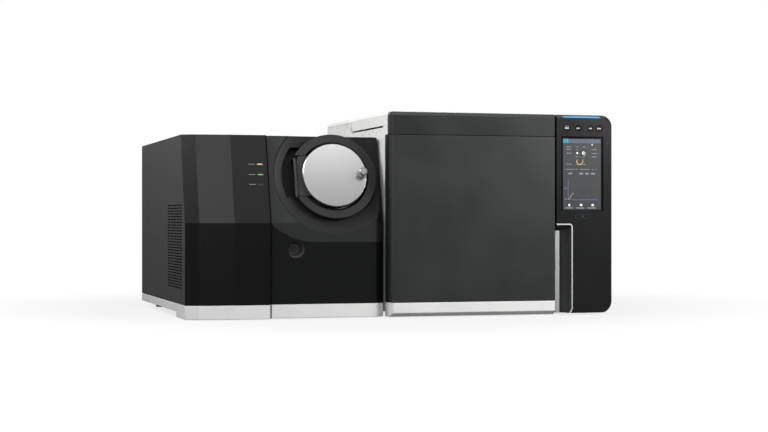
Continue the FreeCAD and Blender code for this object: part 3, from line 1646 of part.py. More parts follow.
def quadrupole_rods():
    """Four round rods held by two insulating rings."""
    start = source_front + source_length + 12
    parts = []
    for sx in (-1, 1):
        for sz in (-1, 1):
            centre = Vector(door_u + sx * rod_circle / 1.41421, start, bore_z + sz * rod_circle / 1.41421)
            parts.append(rod(rod_radius, centre, Y, rod_length))
    for y in (start + 14, start + rod_length - 32):
        collar = tube(chamber_bore - clear, 12, Vector(door_u, y, bore_z), Y, 18)
        hold = []
        for part in parts[:4]:
            hold.append(part)
        parts.append(collar.cut(Part.makeCompound(hold)))
    rods = parts[:4]
    collars = parts[4:]
    return joined(rods + collars)


def detector():
    """Electron multiplier behind the rods, on its mounting plate."""
    start = source_front + source_length + 12 + rod_length + 10
    plate = rod(chamber_bore - clear, Vector(door_u, bore_end - 8, bore_z), Y, 8)
    horn = turned([(0, 0), (16, 0), (9, 34), (9, 52), (0, 52)], Vector(door_u, start, bore_z), X, Y)
    post = rod(7, Vector(door_u, start + 50, bore_z), Y, bore_end - 8 - start - 49)
    return joined([plate, horn, post])


def turbo_pump():
    """Turbo pump housing under the chamber: flange, ribbed barrel, motor end and exhaust to the rear."""
    top = chamber_low
    low = top - turbo_height
    base = Vector(door_u, turbo_y, low)
    r = turbo_radius
    outline = [(rotor_radius + 4, 12), (rotor_radius + 4, turbo_height), (r + 8, turbo_height)]
    outline += [(r + 8, turbo_height - 12), (r, turbo_height - 12)]
    g = turbo_groove
    for z in (turbo_height - 30, turbo_height - 52, turbo_height - 74):
        outline += [(r, z), (r - g, z - g), (r, z - 2 * g)]
    outline += [(r, 24), (r - 14, 20), (r - 14, 0), (0, 0), (0, 12)]
    barrel = turned(outline, base, X, Z)
    bearing = rod(rotor_shaft + run_fit, base + Z * 4, Z, 20)
    lift = Vector(foreline_x, turbo_y + r - 10, foreline_z)
    reach = total_back - foreline_length - lift.y
    pipe = rod(foreline_radius - 3, lift, Y, reach)
    stub = rod(foreline_radius, Vector(foreline_x, ms_depth - 20, foreline_z), Y, 20 + foreline_length - 4)
    rim = rod(foreline_rim, Vector(foreline_x, total_back - 4, foreline_z), Y, 4)
    whole = joined([barrel, pipe, stub, rim])
    hole = rod(foreline_bore, Vector(foreline_x, lift.y + 4, foreline_z), Y, reach + foreline_length + 5)
    return without(whole, [bearing, hole])


def turbo_rotor():
    """Stack of slanted blade discs on the pump's shaft."""
    low = chamber_low - turbo_height
    base = Vector(door_u, turbo_y, low + 5)
    shaft = rod(rotor_shaft, base, Z, turbo_height - 15)
    hub = rod(20, base + Z * 14, Z, turbo_height - 34)
    parts = [shaft, hub]
    reach = math.sqrt(rotor_radius ** 2 - 6.0 ** 2)
    for level in row(blade_levels, 24.0, 32.0):
        for i in range(blade_count):
            blade = box(18, reach, -1.2, 1.2, -7, 7)
            blade.rotate(Vector(0, 0, 0), X, 40)
            blade.Placement = Placement(base + Z * level, Rotation(Z, 360.0 / blade_count * i)).multiply(blade.Placement)
            parts.append(blade)
    return joined(parts)


def transfer_line():
    """Heated tube that carries the sample from the oven into the chamber."""
    x0 = door_u + chamber_bore - 8
    x1 = oven_left + 12
    body = rod(line_radius, Vector(x0 + 16, line_y, bore_z), X, x1 - x0 - 16)
    tip = rod(4, Vector(x0, line_y, bore_z), X, 17)
    return joined([body, tip])


def ms_circuit_board():
    """Board with its screening cans on the left of the chamber."""
    x0 = ms_left + 70
    board = box(x0, x0 + 2, 130, 600, foot_top + sheet, 340)
    parts = [board]
    for y, z, w, h, t in (
        (150, 60, 120, 70, 26),
        (300, 60, 90, 90, 12),
        (420, 60, 140, 110, 40),
        (150, 170, 80, 120, 10),
        (260, 190, 130, 100, 30),
        (430, 210, 110, 90, 16),
    ):
        parts.append(box(x0 + 1.9, x0 + 2 + t, y, y + w, z, z + h))
    shelf = box(x0, x0 + 60, 130, 600, foot_top + sheet, foot_top + 2 * sheet)
    return joined(parts + [shelf])


def power_button():
    """Round push button at the bottom of its cone."""
    y0 = right_face_y + cone_deep
    length = power_length + 1 + clear
    profile = [(0, 0), (power_radius - 1, 0), (power_radius, 1), (power_radius, length + 1), (0, length + 1)]
    stem = turned(profile, Vector(power_x, y0, power_z), X, Y)
    half = power_radius + 2
    collar = box(power_x - half, power_x + half, y0 + length, y0 + length + 2, power_z - half, power_z + half)
    return joined([stem, collar])


def save(name, shape):
    """Moves a piece to the instrument's own origin and writes it."""
    placed = shape.copy()
    placed.translate(shift)
    solids = placed.Solids
    keep = solids[0] if len(solids) == 1 else Part.makeCompound(solids)
    keep.exportStep(os.path.join("parts", name + ".step"))
    print(name, len(solids), "solids", round(placed.Volume / 1000.0, 1), "cm3", placed.isValid())


pieces = {
    "gc_base_pan": gc_base_pan,
    "rubber_feet": rubber_feet,
    "gc_left_panel": gc_left_panel,
    "gc_right_panel": gc_right_panel,
    "gc_rear_panel": gc_rear_panel,
    "gc_top_cover": gc_top_cover,
    "gc_top_deck": gc_top_deck,
    "oven_front_frame": oven_front_frame,
    "oven_liner": oven_liner,
    "oven_blanket": oven_blanket,
    "oven_baffle": oven_baffle,
    "oven_heater": oven_heater,
    "oven_fan": oven_fan,
    "fan_motor": fan_motor,
    "column_coil": column_coil,
    "column_cage": column_cage,
    "injection_port": injection_port,
    "septum_nut": septum_nut,
    "exhaust_flap": exhaust_flap,
    "gas_fittings": gas_fittings,
    "power_inlets": power_inlets,
    "oven_door_panel": oven_door_panel,
    "oven_door_insulation": oven_door_insulation,
    "oven_door_liner": oven_door_liner,
    "oven_door_seal": oven_door_seal,
    "oven_door_handle": oven_door_handle,
    "hinge_pins": hinge_pins,
    "lid_cover": lid_cover,
    "lid_front": lid_front,
    "panel_housing": panel_housing,
    "touch_screen": touch_screen,
    "light_bar": light_bar,
    "handle_trim": handle_trim,
    "control_board": control_board,
    "ms_base_tray": ms_base_tray,
    "base_strips": base_strips,
    "ms_front_cover_left": ms_front_cover_left,
    "ms_front_cover_right": ms_front_cover_right,
    "ms_side_cover": ms_side_cover,
    "ms_top_cover": ms_top_cover,
    "ms_rear_panel": ms_rear_panel,
    "status_lights": status_lights,
    "vacuum_door": vacuum_door,
    "vacuum_door_seal": vacuum_door_seal,
    "vacuum_door_hinge": vacuum_door_hinge,
    "vacuum_door_knob": vacuum_door_knob,
    "vacuum_chamber": vacuum_chamber,
    "ion_source": ion_source,
    "quadrupole_rods": quadrupole_rods,
    "detector": detector,
    "turbo_pump": turbo_pump,
    "turbo_rotor": turbo_rotor,
    "transfer_line": transfer_line,
    "cooling_fan": cooling_fan,
    "ms_circuit_board": ms_circuit_board,
    "power_button": power_button,
}

os.makedirs("parts", exist_ok=True)
for name, make in pieces.items():
    save(name, make())
for number, place in enumerate(button_x, 1):
    save("panel_button_%d" % number, panel_button(place))
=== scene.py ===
import json
import math

import bmesh
import bpy
import numpy as np
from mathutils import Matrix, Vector


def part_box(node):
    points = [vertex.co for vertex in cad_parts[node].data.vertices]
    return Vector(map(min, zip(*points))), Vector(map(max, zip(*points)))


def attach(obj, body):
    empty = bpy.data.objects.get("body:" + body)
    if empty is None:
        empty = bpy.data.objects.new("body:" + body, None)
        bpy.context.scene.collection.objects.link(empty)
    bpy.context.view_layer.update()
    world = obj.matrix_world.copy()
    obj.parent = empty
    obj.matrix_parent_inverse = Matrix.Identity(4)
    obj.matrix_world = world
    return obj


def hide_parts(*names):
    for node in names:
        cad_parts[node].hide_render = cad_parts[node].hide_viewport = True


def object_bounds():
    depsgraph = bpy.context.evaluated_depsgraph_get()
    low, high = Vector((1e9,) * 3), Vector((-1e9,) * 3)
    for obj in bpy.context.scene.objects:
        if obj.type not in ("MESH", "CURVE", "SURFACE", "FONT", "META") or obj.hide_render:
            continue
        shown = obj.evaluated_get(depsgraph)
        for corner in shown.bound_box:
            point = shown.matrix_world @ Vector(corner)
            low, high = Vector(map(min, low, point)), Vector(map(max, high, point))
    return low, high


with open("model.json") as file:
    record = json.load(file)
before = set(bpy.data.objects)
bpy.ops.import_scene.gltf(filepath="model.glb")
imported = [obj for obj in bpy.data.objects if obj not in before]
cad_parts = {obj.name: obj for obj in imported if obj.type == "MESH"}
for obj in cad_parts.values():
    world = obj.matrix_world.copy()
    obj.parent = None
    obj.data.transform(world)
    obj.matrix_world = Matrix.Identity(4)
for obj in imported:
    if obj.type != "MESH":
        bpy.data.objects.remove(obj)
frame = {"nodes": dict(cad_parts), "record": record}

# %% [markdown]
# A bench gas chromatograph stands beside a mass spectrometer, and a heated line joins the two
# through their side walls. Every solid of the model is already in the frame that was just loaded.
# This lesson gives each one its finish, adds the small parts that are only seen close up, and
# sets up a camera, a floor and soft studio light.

MM = 0.001
cad_low, cad_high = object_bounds()
door_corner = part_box("oven_door_panel")[0]
corner = Vector((door_corner.x, door_corner.y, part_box("base_strips")[0].z))
print("whole instrument, in metres:", [round(v, 3) for v in cad_high - cad_low])


def spot(x, y, z):
    """A point given in millimetres from the chromatograph's lower left front corner."""
    return corner + Vector((x, y, z)) * MM


# %% [markdown]
# The camera comes first, because every later choice is judged through it. The photograph was
# taken from the left with a long lens: the verticals stay upright, so the camera is level, and the
# horizon lies just under the middle of the frame, which takes a very small vertical shift.

# %% The camera
frame_width_px = 768
focal_px = 1657.5
horizon_below_middle_px = 3.98
turn_to_right = math.radians(16.298)

lens = bpy.data.cameras.new("long lens")
lens.sensor_width = 36.0
lens.lens = focal_px / frame_width_px * lens.sensor_width
lens.shift_y = horizon_below_middle_px / frame_width_px
lens.clip_end = 50.0
camera = bpy.data.objects.new("camera", lens)
camera.location = spot(-1002.0, -3380.0, 206.4)
camera.rotation_euler = (math.radians(90.0), 0.0, -turn_to_right)
bpy.context.scene.collection.objects.link(camera)
bpy.context.scene.camera = camera
bpy.context.scene.view_settings.view_transform = "Standard"
print("lens", round(lens.lens, 1), "mm, camera at", [round(v, 2) for v in camera.location])

# %% [markdown]
# Colours are written as they look on a screen, in hex. The shaders want linear light, so one
# function turns a hex value into the four numbers of a colour socket. A second small function adds
# a node to a material, sets it up and wires its inputs. Two more blend two hex colours by a pattern
# and stretch a pattern to a range, which nearly every material below needs.


# %% Colours and nodes
def colour(hex_value):
    """An sRGB hex value as linear red, green, blue and alpha."""
    channels = [int(hex_value[i : i + 2], 16) / 255.0 for i in (1, 3, 5)]
    linear = [c / 12.92 if c <= 0.04045 else ((c + 0.055) / 1.055) ** 2.4 for c in channels]
    return (*linear, 1.0)


def add(tree, kind, links=None, **settings):
    """A new node in a tree, with inputs wired to the outputs in links.

    A setting is an attribute of the node, an input's name, or i6 for its input number 6.
    """
    node = tree.nodes.new(kind)
    for key, value in settings.items():
        if hasattr(node, key):
            setattr(node, key, value)
        else:
            node.inputs[int(key[1:]) if key[1:].isdigit() else key.replace("_", " ")].default_value = value
    for key, output in (links or {}).items():
        tree.links.new(output, node.inputs[key])
    return node


def blend(tree, factor, dark, pale):
    """A colour between two hex values: dark + factor * (pale - dark)."""
    mix = add(tree, "ShaderNodeMix", {"Factor": factor}, data_type="RGBA", i6=colour(dark), i7=colour(pale))
    return mix.outputs[2]


def ranged(tree, value, low, high, **span):
    """A value moved from its own span, 0 to 1 if none is given, to one from low to high."""
    return add(tree, "ShaderNodeMapRange", {"Value": value}, To_Min=low, To_Max=high, **span).outputs[0]


def surface(name):
    """An empty material with its tree and its principled shader."""
    material = bpy.data.materials.new(name)
    material.use_nodes = True
    tree = material.node_tree
    return material, tree, tree.nodes["Principled BSDF"]


print("middle grey as linear light:", [round(v, 3) for v in colour("#808080")])


# %% [markdown]
# Most of the instrument is one of three things: powder-coated sheet, moulded plastic or bare metal.
# None of them is one flat colour. A powder coat has a fine orange-peel, a moulding has a spark-eroded
# grain, and both carry faint clouds where light catches the surface unevenly. So one function builds
# them all: a fine grain and a slow cloud of real sizes in millimetres, which move the colour between
# two close hex values, shift the roughness a little and raise a shallow relief.


# %% A grained surface
def grained(name, dark, pale, grain_mm, roughness, spread=0.06, relief_mm=0.02, cloud_mm=90.0, **shader):
    """Colour from dark to pale and roughness +- spread follow a fine grain mixed with a slow cloud."""
    material, tree, principled = surface(name)
    place = add(tree, "ShaderNodeTexCoord").outputs["Object"]
    grain = add(tree, "ShaderNodeTexNoise", {"Vector": place}, Scale=1.0 / (grain_mm * MM), Detail=3.0)
    cloud = add(tree, "ShaderNodeTexNoise", {"Vector": place}, Scale=1.0 / (cloud_mm * MM), Detail=2.0)
    mixed = add(tree, "ShaderNodeMath", {0: grain.outputs[0], 1: cloud.outputs[0]}, operation="ADD")
    span = {"From_Min": 0.7, "From_Max": 1.3}
    tone = ranged(tree, mixed.outputs[0], 0.0, 1.0, **span)
    gloss = ranged(tree, mixed.outputs[0], roughness - spread, roughness + spread, **span)
    relief = add(tree, "ShaderNodeBump", {"Height": grain.outputs[0]}, Distance=relief_mm * MM, Strength=0.6)
    tree.links.new(blend(tree, tone, dark, pale), principled.inputs["Base Color"])
    tree.links.new(gloss, principled.inputs["Roughness"])
    tree.links.new(relief.outputs[0], principled.inputs["Normal"])
    for key, value in shader.items():
        principled.inputs[key.replace("_", " ")].default_value = value
    return material


# %% [markdown]
# White parts: the chromatograph's sheet panels are powder coated, and the strips along the bottom
# are moulded plastic of the same white. Powder coat is a little rougher and shows a peel of about
# 1.5 mm, while the moulding is smoother and very slightly cooler. The rear panels are coated grey.

# %% White finishes
white_powder_coat = grained("white powder coat", "#d3d4d2", "#dededc", 1.5, 0.48, relief_mm=0.03)
white_moulding = grained("white moulded plastic", "#d9dad9", "#e2e2e1", 1.2, 0.38, relief_mm=0.01)
grey_powder_coat = grained("grey powder coat", "#9fa1a1", "#adafae", 1.5, 0.5, relief_mm=0.03)
print(len(bpy.data.materials), "materials so far")

# %% [markdown]
# Dark parts: the oven door and the lid's front are semi-gloss mouldings of a very dark, slightly green
# grey, and the control column is a glossier one, nearly black. The spectrometer's side and top are a
# dark powder coat. The inner frame and the small black fittings are plain satin mouldings, feet and
# rings are rubber, and the keys and the screen have a glossy face.

# %% Dark finishes
door_moulding = grained(
    "dark satin door moulding", "#1b1e1d", "#1f2221", 1.4, 0.42, relief_mm=0.015, Specular_IOR_Level=0.45
)
lid_moulding = grained(
    "dark lid moulding", "#1b1e1d", "#1f2221", 1.4, 0.4, relief_mm=0.015, Specular_IOR_Level=0.35
)
column_moulding = grained(
    "control column moulding", "#0c0d0e", "#0f1011", 1.4, 0.26, 0.02, relief_mm=0.01, Specular_IOR_Level=0.4
)
dark_powder_coat = grained(
    "dark powder coat", "#1c1c1c", "#222222", 1.5, 0.5, relief_mm=0.04, Specular_IOR_Level=0.4
)
satin_black = grained("satin black moulding", "#0d0e0e", "#121313", 1.2, 0.42, relief_mm=0.01)
black_rubber = grained("black rubber", "#101010", "#171717", 1.0, 0.75, relief_mm=0.02)
grey_silicone = grained("grey silicone", "#5b5c5c", "#666767", 1.0, 0.6, relief_mm=0.01)
key_gloss = grained("glossy key plastic", "#0b0c0d", "#0f1011", 2.0, 0.16, spread=0.03, relief_mm=0.0)
print(len(bpy.data.materials), "materials so far")

# %% [markdown]
# The hollows carry painted light and shade. The finger recess is paler, painted light where the lamps
# fall into it, and the cone of the power button is paler still, a painted highlight; the dish round the door
# is darker and nearly matt; the pocket beside it is darker, painted shade; and slots and gaps are near
# black, painted shade that gives back almost nothing. The button itself is a grey satin.

# %% Painted light and shade of the hollows, and the button
# Paler than the column moulding: painted light where the lamps fall into the finger recess.
recess_painted_light = grained("finger recess, painted light", "#3c3d3d", "#444545", 1.4, 0.4, relief_mm=0.01)
# Paler still: a painted highlight for the cone's lit wall round the power button.
cone_painted_highlight = grained("button cone, painted highlight", "#4a4b4c", "#525354", 1.4, 0.35, relief_mm=0.01)
# Darker than the cover round it: painted shade, the shadow of the pocket's rim on its floor.
pocket_painted_shade = grained(
    "hinge pocket, painted shade", "#0f1010", "#141515", 1.4, 0.5, relief_mm=0.01, Specular_IOR_Level=0.12
)
dish_satin = grained(
    "satin dish moulding", "#161718", "#1a1b1c", 1.4, 0.5, relief_mm=0.01, Specular_IOR_Level=0.16
)
# Near-black matt: painted shade in slots and gaps, and the black print round the screen.
black_print_and_painted_shade = grained(
    "matt black print and painted shade", "#030303", "#050505", 1.0, 0.9, relief_mm=0.0, Specular_IOR_Level=0.04
)
button_satin = grained("satin button plastic", "#2e3032", "#36383a", 1.4, 0.38, relief_mm=0.01)
print(len(bpy.data.materials), "materials so far")

# %% [markdown]
# Metals keep the default IOR and get their look from metallic 1.0 and a roughness. Sheet that has
# been rolled or brushed shows fine lines along one way, which a noise stretched along that way gives.
# The cell ends with what else lies inside: anodised and painted castings, ceramic fibre, circuit
# boards and the moulding of the fan.


# %% Brushed and plain metals
def brushed(name, dark, pale, roughness, stretch, line_mm=0.8, spread=0.08):
    """Metal whose colour and roughness follow noise stretched along the brushing direction."""
    material, tree, principled = surface(name)
    place = add(tree, "ShaderNodeTexCoord").outputs["Object"]
    lines = add(tree, "ShaderNodeMapping", {"Vector": place}, Scale=stretch)
    wires = {"Vector": lines.outputs[0]}
    grain = add(tree, "ShaderNodeTexNoise", wires, Scale=1.0 / (line_mm * MM), Detail=2.0)
    gloss = ranged(tree, grain.outputs[0], roughness - spread, roughness + spread)
    tree.links.new(blend(tree, grain.outputs[0], dark, pale), principled.inputs["Base Color"])
    tree.links.new(gloss, principled.inputs["Roughness"])
    principled.inputs["Metallic"].default_value = 1.0
    return material


along_x, along_z = (0.05, 1.0, 1.0), (1.0, 1.0, 0.05)
stainless_sheet = brushed("rolled stainless sheet", "#a9a7a2", "#bdbbb6", 0.34, along_x)
zinc_sheet = brushed("zinc plated sheet", "#9a9c9d", "#b2b4b5", 0.42, along_x)
machined_steel = brushed("machined steel", "#a3a3a1", "#b9b9b7", 0.3, along_z)
knob_metal = brushed("machined knob", "#8c8d8e", "#9c9d9e", 0.34, along_z)
satin_aluminium = brushed("satin aluminium", "#b6b7b8", "#c4c5c6", 0.4, along_z)
cast_aluminium = brushed("machined aluminium casting", "#b0b0ae", "#c2c2c0", 0.4, along_x, line_mm=2.0)
chrome_strip = brushed("bright plated strip", "#b9babb", "#c6c7c8", 0.5, along_z, spread=0.03)
turned_brass = brushed("turned brass", "#b08d45", "#c6a35a", 0.28, along_z)
heater_sheath = brushed("heat tinted sheath", "#4a3b33", "#6a5548", 0.45, along_x)
black_anodised = grained("black anodised aluminium", "#1a1b1c", "#222324", 0.8, 0.34, Metallic=0.6)
cast_motor = grained("painted cast motor", "#24282a", "#2e3235", 2.5, 0.5, relief_mm=0.12)
ceramic_fibre = grained("ceramic fibre", "#d8d4c8", "#eae7dd", 4.0, 0.95, relief_mm=0.6, spread=0.03)
board_green = grained("green circuit board", "#0f3a22", "#16492c", 6.0, 0.4, relief_mm=0.02)
fan_plastic = grained("black fan moulding", "#141515", "#1b1c1c", 1.2, 0.4)
print(len(bpy.data.materials), "materials so far")

# %% [markdown]
# The disc of the vacuum door is turned on a lathe, so its lines run in circles about its own axis,
# and it leans back with the cover round it. So the pattern has to turn about the disc's own centre:
# the centre is moved to the origin, a Mapping node turns the lean away, and the distance from that
# centre then drives a noise of circles as fine as the picture can show.

# %% Turned aluminium
disc_low, disc_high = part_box("vacuum_door")
disc_middle = (disc_low + disc_high) / 2
lean_back_mm, lean_height_mm = 52.0, 185.8
lean = math.atan(lean_back_mm / lean_height_mm)


def turned(name, dark, pale, roughness, ring_mm=0.6, spread=0.01):
    """Metal with circles about the vacuum door's axis: noise of the distance from that axis."""
    material, tree, principled = surface(name)
    place = add(tree, "ShaderNodeTexCoord").outputs["Object"]
    centred = add(tree, "ShaderNodeVectorMath", {0: place}, operation="SUBTRACT", i1=disc_middle)
    upright = add(tree, "ShaderNodeMapping", {"Vector": centred.outputs[0]}, Rotation=(lean, 0.0, 0.0))
    wires = {0: upright.outputs[0]}
    flat = add(tree, "ShaderNodeVectorMath", wires, operation="MULTIPLY", i1=(1.0, 0.0, 1.0))
    reach = add(tree, "ShaderNodeVectorMath", {0: flat.outputs[0]}, operation="LENGTH")
    wires = {"W": reach.outputs["Value"]}
    circles = add(tree, "ShaderNodeTexNoise", wires, noise_dimensions="1D", Scale=1.0 / (ring_mm * MM))
    gloss = ranged(tree, circles.outputs[0], roughness - spread, roughness + spread)
    tree.links.new(blend(tree, circles.outputs[0], dark, pale), principled.inputs["Base Color"])
    tree.links.new(gloss, principled.inputs["Roughness"])
    principled.inputs["Metallic"].default_value = 1.0
    return material


turned_aluminium = turned("turned aluminium", "#bab9ba", "#c1c0c1", 0.25)
print("vacuum door centre", [round(v, 3) for v in disc_middle])

# %% [markdown]
# The spectrometer's two front covers carry two finishes each. The leaning upper part is satin and a
# little paler; the upright lower part is glossy and nearly black. On the left cover the change is
# at the crease. On the right cover it runs level lower down, and curves up round the door towards the
# seam. The edge of that shape is a distance: points nearer than a radius to a centre are satin, and
# right of the centre only the height counts.

# %% Covers with two finishes
crease = 200.0  # mm above the strips' foot, where the upright part ends and the lean begins
curve_height, curve_radius = 300.0, 140.0
curve_centre = spot(-157.0, 0.0, curve_height)
gloss_roughness = 0.2


def two_finish(name, centre, radius, satin_paint, gloss_paint, satin_roughness, specular, edge_mm=0.4):
    """Satin within a radius of a centre line, glossy outside it; right of the centre only height counts.

    The radius is met by sqrt(min(x, 0)^2 + min(z, 0)^2), measured from the centre. Each paint is a
    dark and a pale hex value, mixed by a grain of 1.4 mm.
    """
    material, tree, principled = surface(name)
    place = add(tree, "ShaderNodeTexCoord").outputs["Object"]
    away = add(tree, "ShaderNodeVectorMath", {0: place}, operation="SUBTRACT", i1=centre)
    parts = add(tree, "ShaderNodeSeparateXYZ", {0: away.outputs[0]})
    left_only = add(tree, "ShaderNodeMath", {0: parts.outputs["X"]}, operation="MINIMUM", i1=0.0)
    below_only = add(tree, "ShaderNodeMath", {0: parts.outputs["Z"]}, operation="MINIMUM", i1=0.0)
    flat = add(tree, "ShaderNodeCombineXYZ", {"X": left_only.outputs[0], "Z": below_only.outputs[0]})
    reach = add(tree, "ShaderNodeVectorMath", {0: flat.outputs[0]}, operation="LENGTH")
    border = {"From_Min": radius + edge_mm * MM, "From_Max": radius - edge_mm * MM}
    satin = ranged(tree, reach.outputs["Value"], 0.0, 1.0, **border)
    grain = add(tree, "ShaderNodeTexNoise", {"Vector": place}, Scale=1.0 / (1.4 * MM), Detail=2.0)
    lower, upper = (blend(tree, grain.outputs[0], *shades) for shades in (gloss_paint, satin_paint))
    paint = add(tree, "ShaderNodeMix", {"Factor": satin, 6: lower, 7: upper}, data_type="RGBA")
    tree.links.new(paint.outputs[2], principled.inputs["Base Color"])
    tree.links.new(ranged(tree, satin, gloss_roughness, satin_roughness), principled.inputs["Roughness"])
    principled.inputs["Specular IOR Level"].default_value = specular
    return material


far = 1000.0  # mm, so far to the upper left that only the height counts
left_cover_finish = two_finish(
    "left cover, satin over gloss",
    spot(-far, 0.0, crease + far),
    far * MM,
    ("#0d0e0f", "#121314"),
    ("#0a0b0c", "#0e0f10"),
    0.32,
    0.28,
)
right_cover_finish = two_finish(
    "right cover, satin over gloss",
    curve_centre,
    curve_radius * MM,
    ("#212223", "#262728"),
    ("#101112", "#151617"),
    0.42,
    0.24,
)
print("satin ends", crease, "mm up on the left cover,", curve_height - curve_radius, "mm on the right")

# %% [markdown]
# Lamps on the instrument give light of their own: the long bar at the top of the column is blue, and
# the status lamps are amber and green, with the third one off. A lamp behind a moulding shows as an
# oval: full inside, then soft at its border, so the ends of the bar and the rim of each lens are dark.


# %% Glowing parts
def glowing(name, body, light, strength, centre, half_width_mm, half_height_mm, softness):
    """Light where sqrt((x/a)^2 + (z/b)^2) < 1 about a centre, with a border of twice the softness."""
    material, tree, principled = surface(name)
    place = add(tree, "ShaderNodeTexCoord").outputs["Object"]
    grain = add(tree, "ShaderNodeTexNoise", {"Vector": place}, Scale=1.0 / (3.0 * MM))
    away = add(tree, "ShaderNodeVectorMath", {0: place}, operation="SUBTRACT", i1=centre)
    shares = (1.0 / (half_width_mm * MM), 0.0, 1.0 / (half_height_mm * MM))
    oval = add(tree, "ShaderNodeVectorMath", {0: away.outputs[0]}, operation="MULTIPLY", i1=shares)
    reach = add(tree, "ShaderNodeVectorMath", {0: oval.outputs[0]}, operation="LENGTH")
    border = {"From_Min": 1.0 - softness, "From_Max": 1.0 + softness}
    glow = ranged(tree, reach.outputs["Value"], strength, 0.02 * strength, **border)
    tree.links.new(blend(tree, grain.outputs[0], body, light), principled.inputs["Emission Color"])
    tree.links.new(glow, principled.inputs["Emission Strength"])
    principled.inputs["Base Color"].default_value = colour("#17181a")
    principled.inputs["Roughness"].default_value = 0.25
    return material


bar_low, bar_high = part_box("light_bar")
bar_width = (bar_high.x - bar_low.x) / MM
bar_reach = 0.6 * bar_width
bar_centre = Vector((bar_low.x + bar_reach * MM, bar_low.y, (bar_low.z + bar_high.z) / 2))
blue_bar = glowing("blue light guide", "#3f9fe2", "#5ab8f5", 0.85, bar_centre, bar_reach, 30.0, 0.16)
lamp_x, lamp_heights = -275.2, (323.6, 301.7, 280.8)
top_lamp, middle_lamp = (spot(lamp_x, 0.0, height) for height in lamp_heights[:2])
amber_lamp = glowing("amber lamp", "#f0b040", "#ffdc90", 1.0, top_lamp, 6.2, 1.3, 0.4)
green_lamp = glowing("green lamp", "#56c463", "#a0efa6", 0.85, middle_lamp, 5.6, 1.2, 0.4)
dark_lamp = grained("unlit lamp lens", "#1c1d1e", "#262728", 2.0, 0.3)
print("light bar", round(bar_width, 1), "mm wide, lamps at", lamp_heights, "mm")

# %% [markdown]
# The capillary column is coated glass thread, wound in many turns. Its amber colour comes from the
# coating. The thread is a few tenths of a millimetre thick, too fine to draw, so a grain of 1.5 mm
# with a faint relief stands for it.

# %% Capillary
amber_capillary = grained("amber coated capillary", "#6b3c12", "#8a5420", 1.5, 0.3, relief_mm=0.05)
print(amber_capillary.name, "is the last finish of a solid:", len(bpy.data.materials), "materials")

# %% [markdown]
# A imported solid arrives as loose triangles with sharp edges. Real mouldings and folded sheet have
# small radii that catch a line of light, and without them a dark object looks like a drawing. So each
# solid is copied, welded and cleaned of its inner lines, and a Bevel modifier rounds what is sharper
# than an angle. Wide flats that meet at a small angle keep a sharp fold between them, and weighted
# normals stop a flat from taking the light of its neighbours. The copy then stands for the solid and
# rides on the same body.

# %% Rounded copies of the solids
body_of_node = {n: b for b, ns in frame["record"]["behaviour"]["bodies"].items() for n in ns}
weld_m = 2e-6
flat_within, smooth_below, rounded_above = (math.radians(angle) for angle in (0.4, 28.0, 40.0))


def keep_folds(mesh, narrowest_mm=12.0, least_fold=math.radians(2.0)):
    """Marks an edge sharp where two flats meet, each with an area / longest edge above a width."""
    rough = bmesh.new()
    rough.from_mesh(mesh)
    widths = {f: f.calc_area() / max(e.calc_length() for e in f.edges) for f in rough.faces}
    wide = {f for f, width in widths.items() if width > narrowest_mm * MM}
    for edge in rough.edges:
        if len(edge.link_faces) == 2 and wide.issuperset(edge.link_faces):
            if edge.calc_face_angle(0.0) > least_fold:
                edge.smooth = False
    rough.to_mesh(mesh)
    rough.free()


def dressed(node, material, edge_mm=0.4, segments=2):
    """A welded copy of a solid with rounded edges, which stands for it and moves with its body."""
    mesh = frame["nodes"][node].data.copy()
    loose = bmesh.new()
    loose.from_mesh(mesh)
    bmesh.ops.remove_doubles(loose, verts=loose.verts, dist=weld_m)
    bmesh.ops.dissolve_limit(loose, angle_limit=flat_within, verts=loose.verts, edges=loose.edges)
    loose.to_mesh(mesh)
    loose.free()
    for layer in list(mesh.attributes):
        if layer.name == "custom_normal":
            mesh.attributes.remove(layer)
    mesh.shade_smooth()
    mesh.set_sharp_from_angle(angle=smooth_below)
    keep_folds(mesh)
    piece = bpy.data.objects.new(f"{node}_dressed", mesh)
    bpy.context.scene.collection.objects.link(piece)
    mesh.materials.clear()
    mesh.materials.append(material)
    if edge_mm:
        edge = piece.modifiers.new("small radius", "BEVEL")
        edge.width = edge_mm * MM
        edge.segments = segments
        edge.limit_method = "ANGLE"
        edge.angle_limit = rounded_above
        edge.use_clamp_overlap = True
    flats_win = piece.modifiers.new("flats keep their own light", "WEIGHTED_NORMAL")
    flats_win.keep_sharp = True
    flats_win.weight = 90
    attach(piece, body_of_node[node])
    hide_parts(node)
    return piece


# %% [markdown]
# Each solid now gets its finish and the radius of its edges in millimetres. Mouldings have the largest
# radii, folded sheet has small ones, and many thin or buried pieces have none. The slotted side cover
# has only a trace of one, so that its slots stay open to the eye.

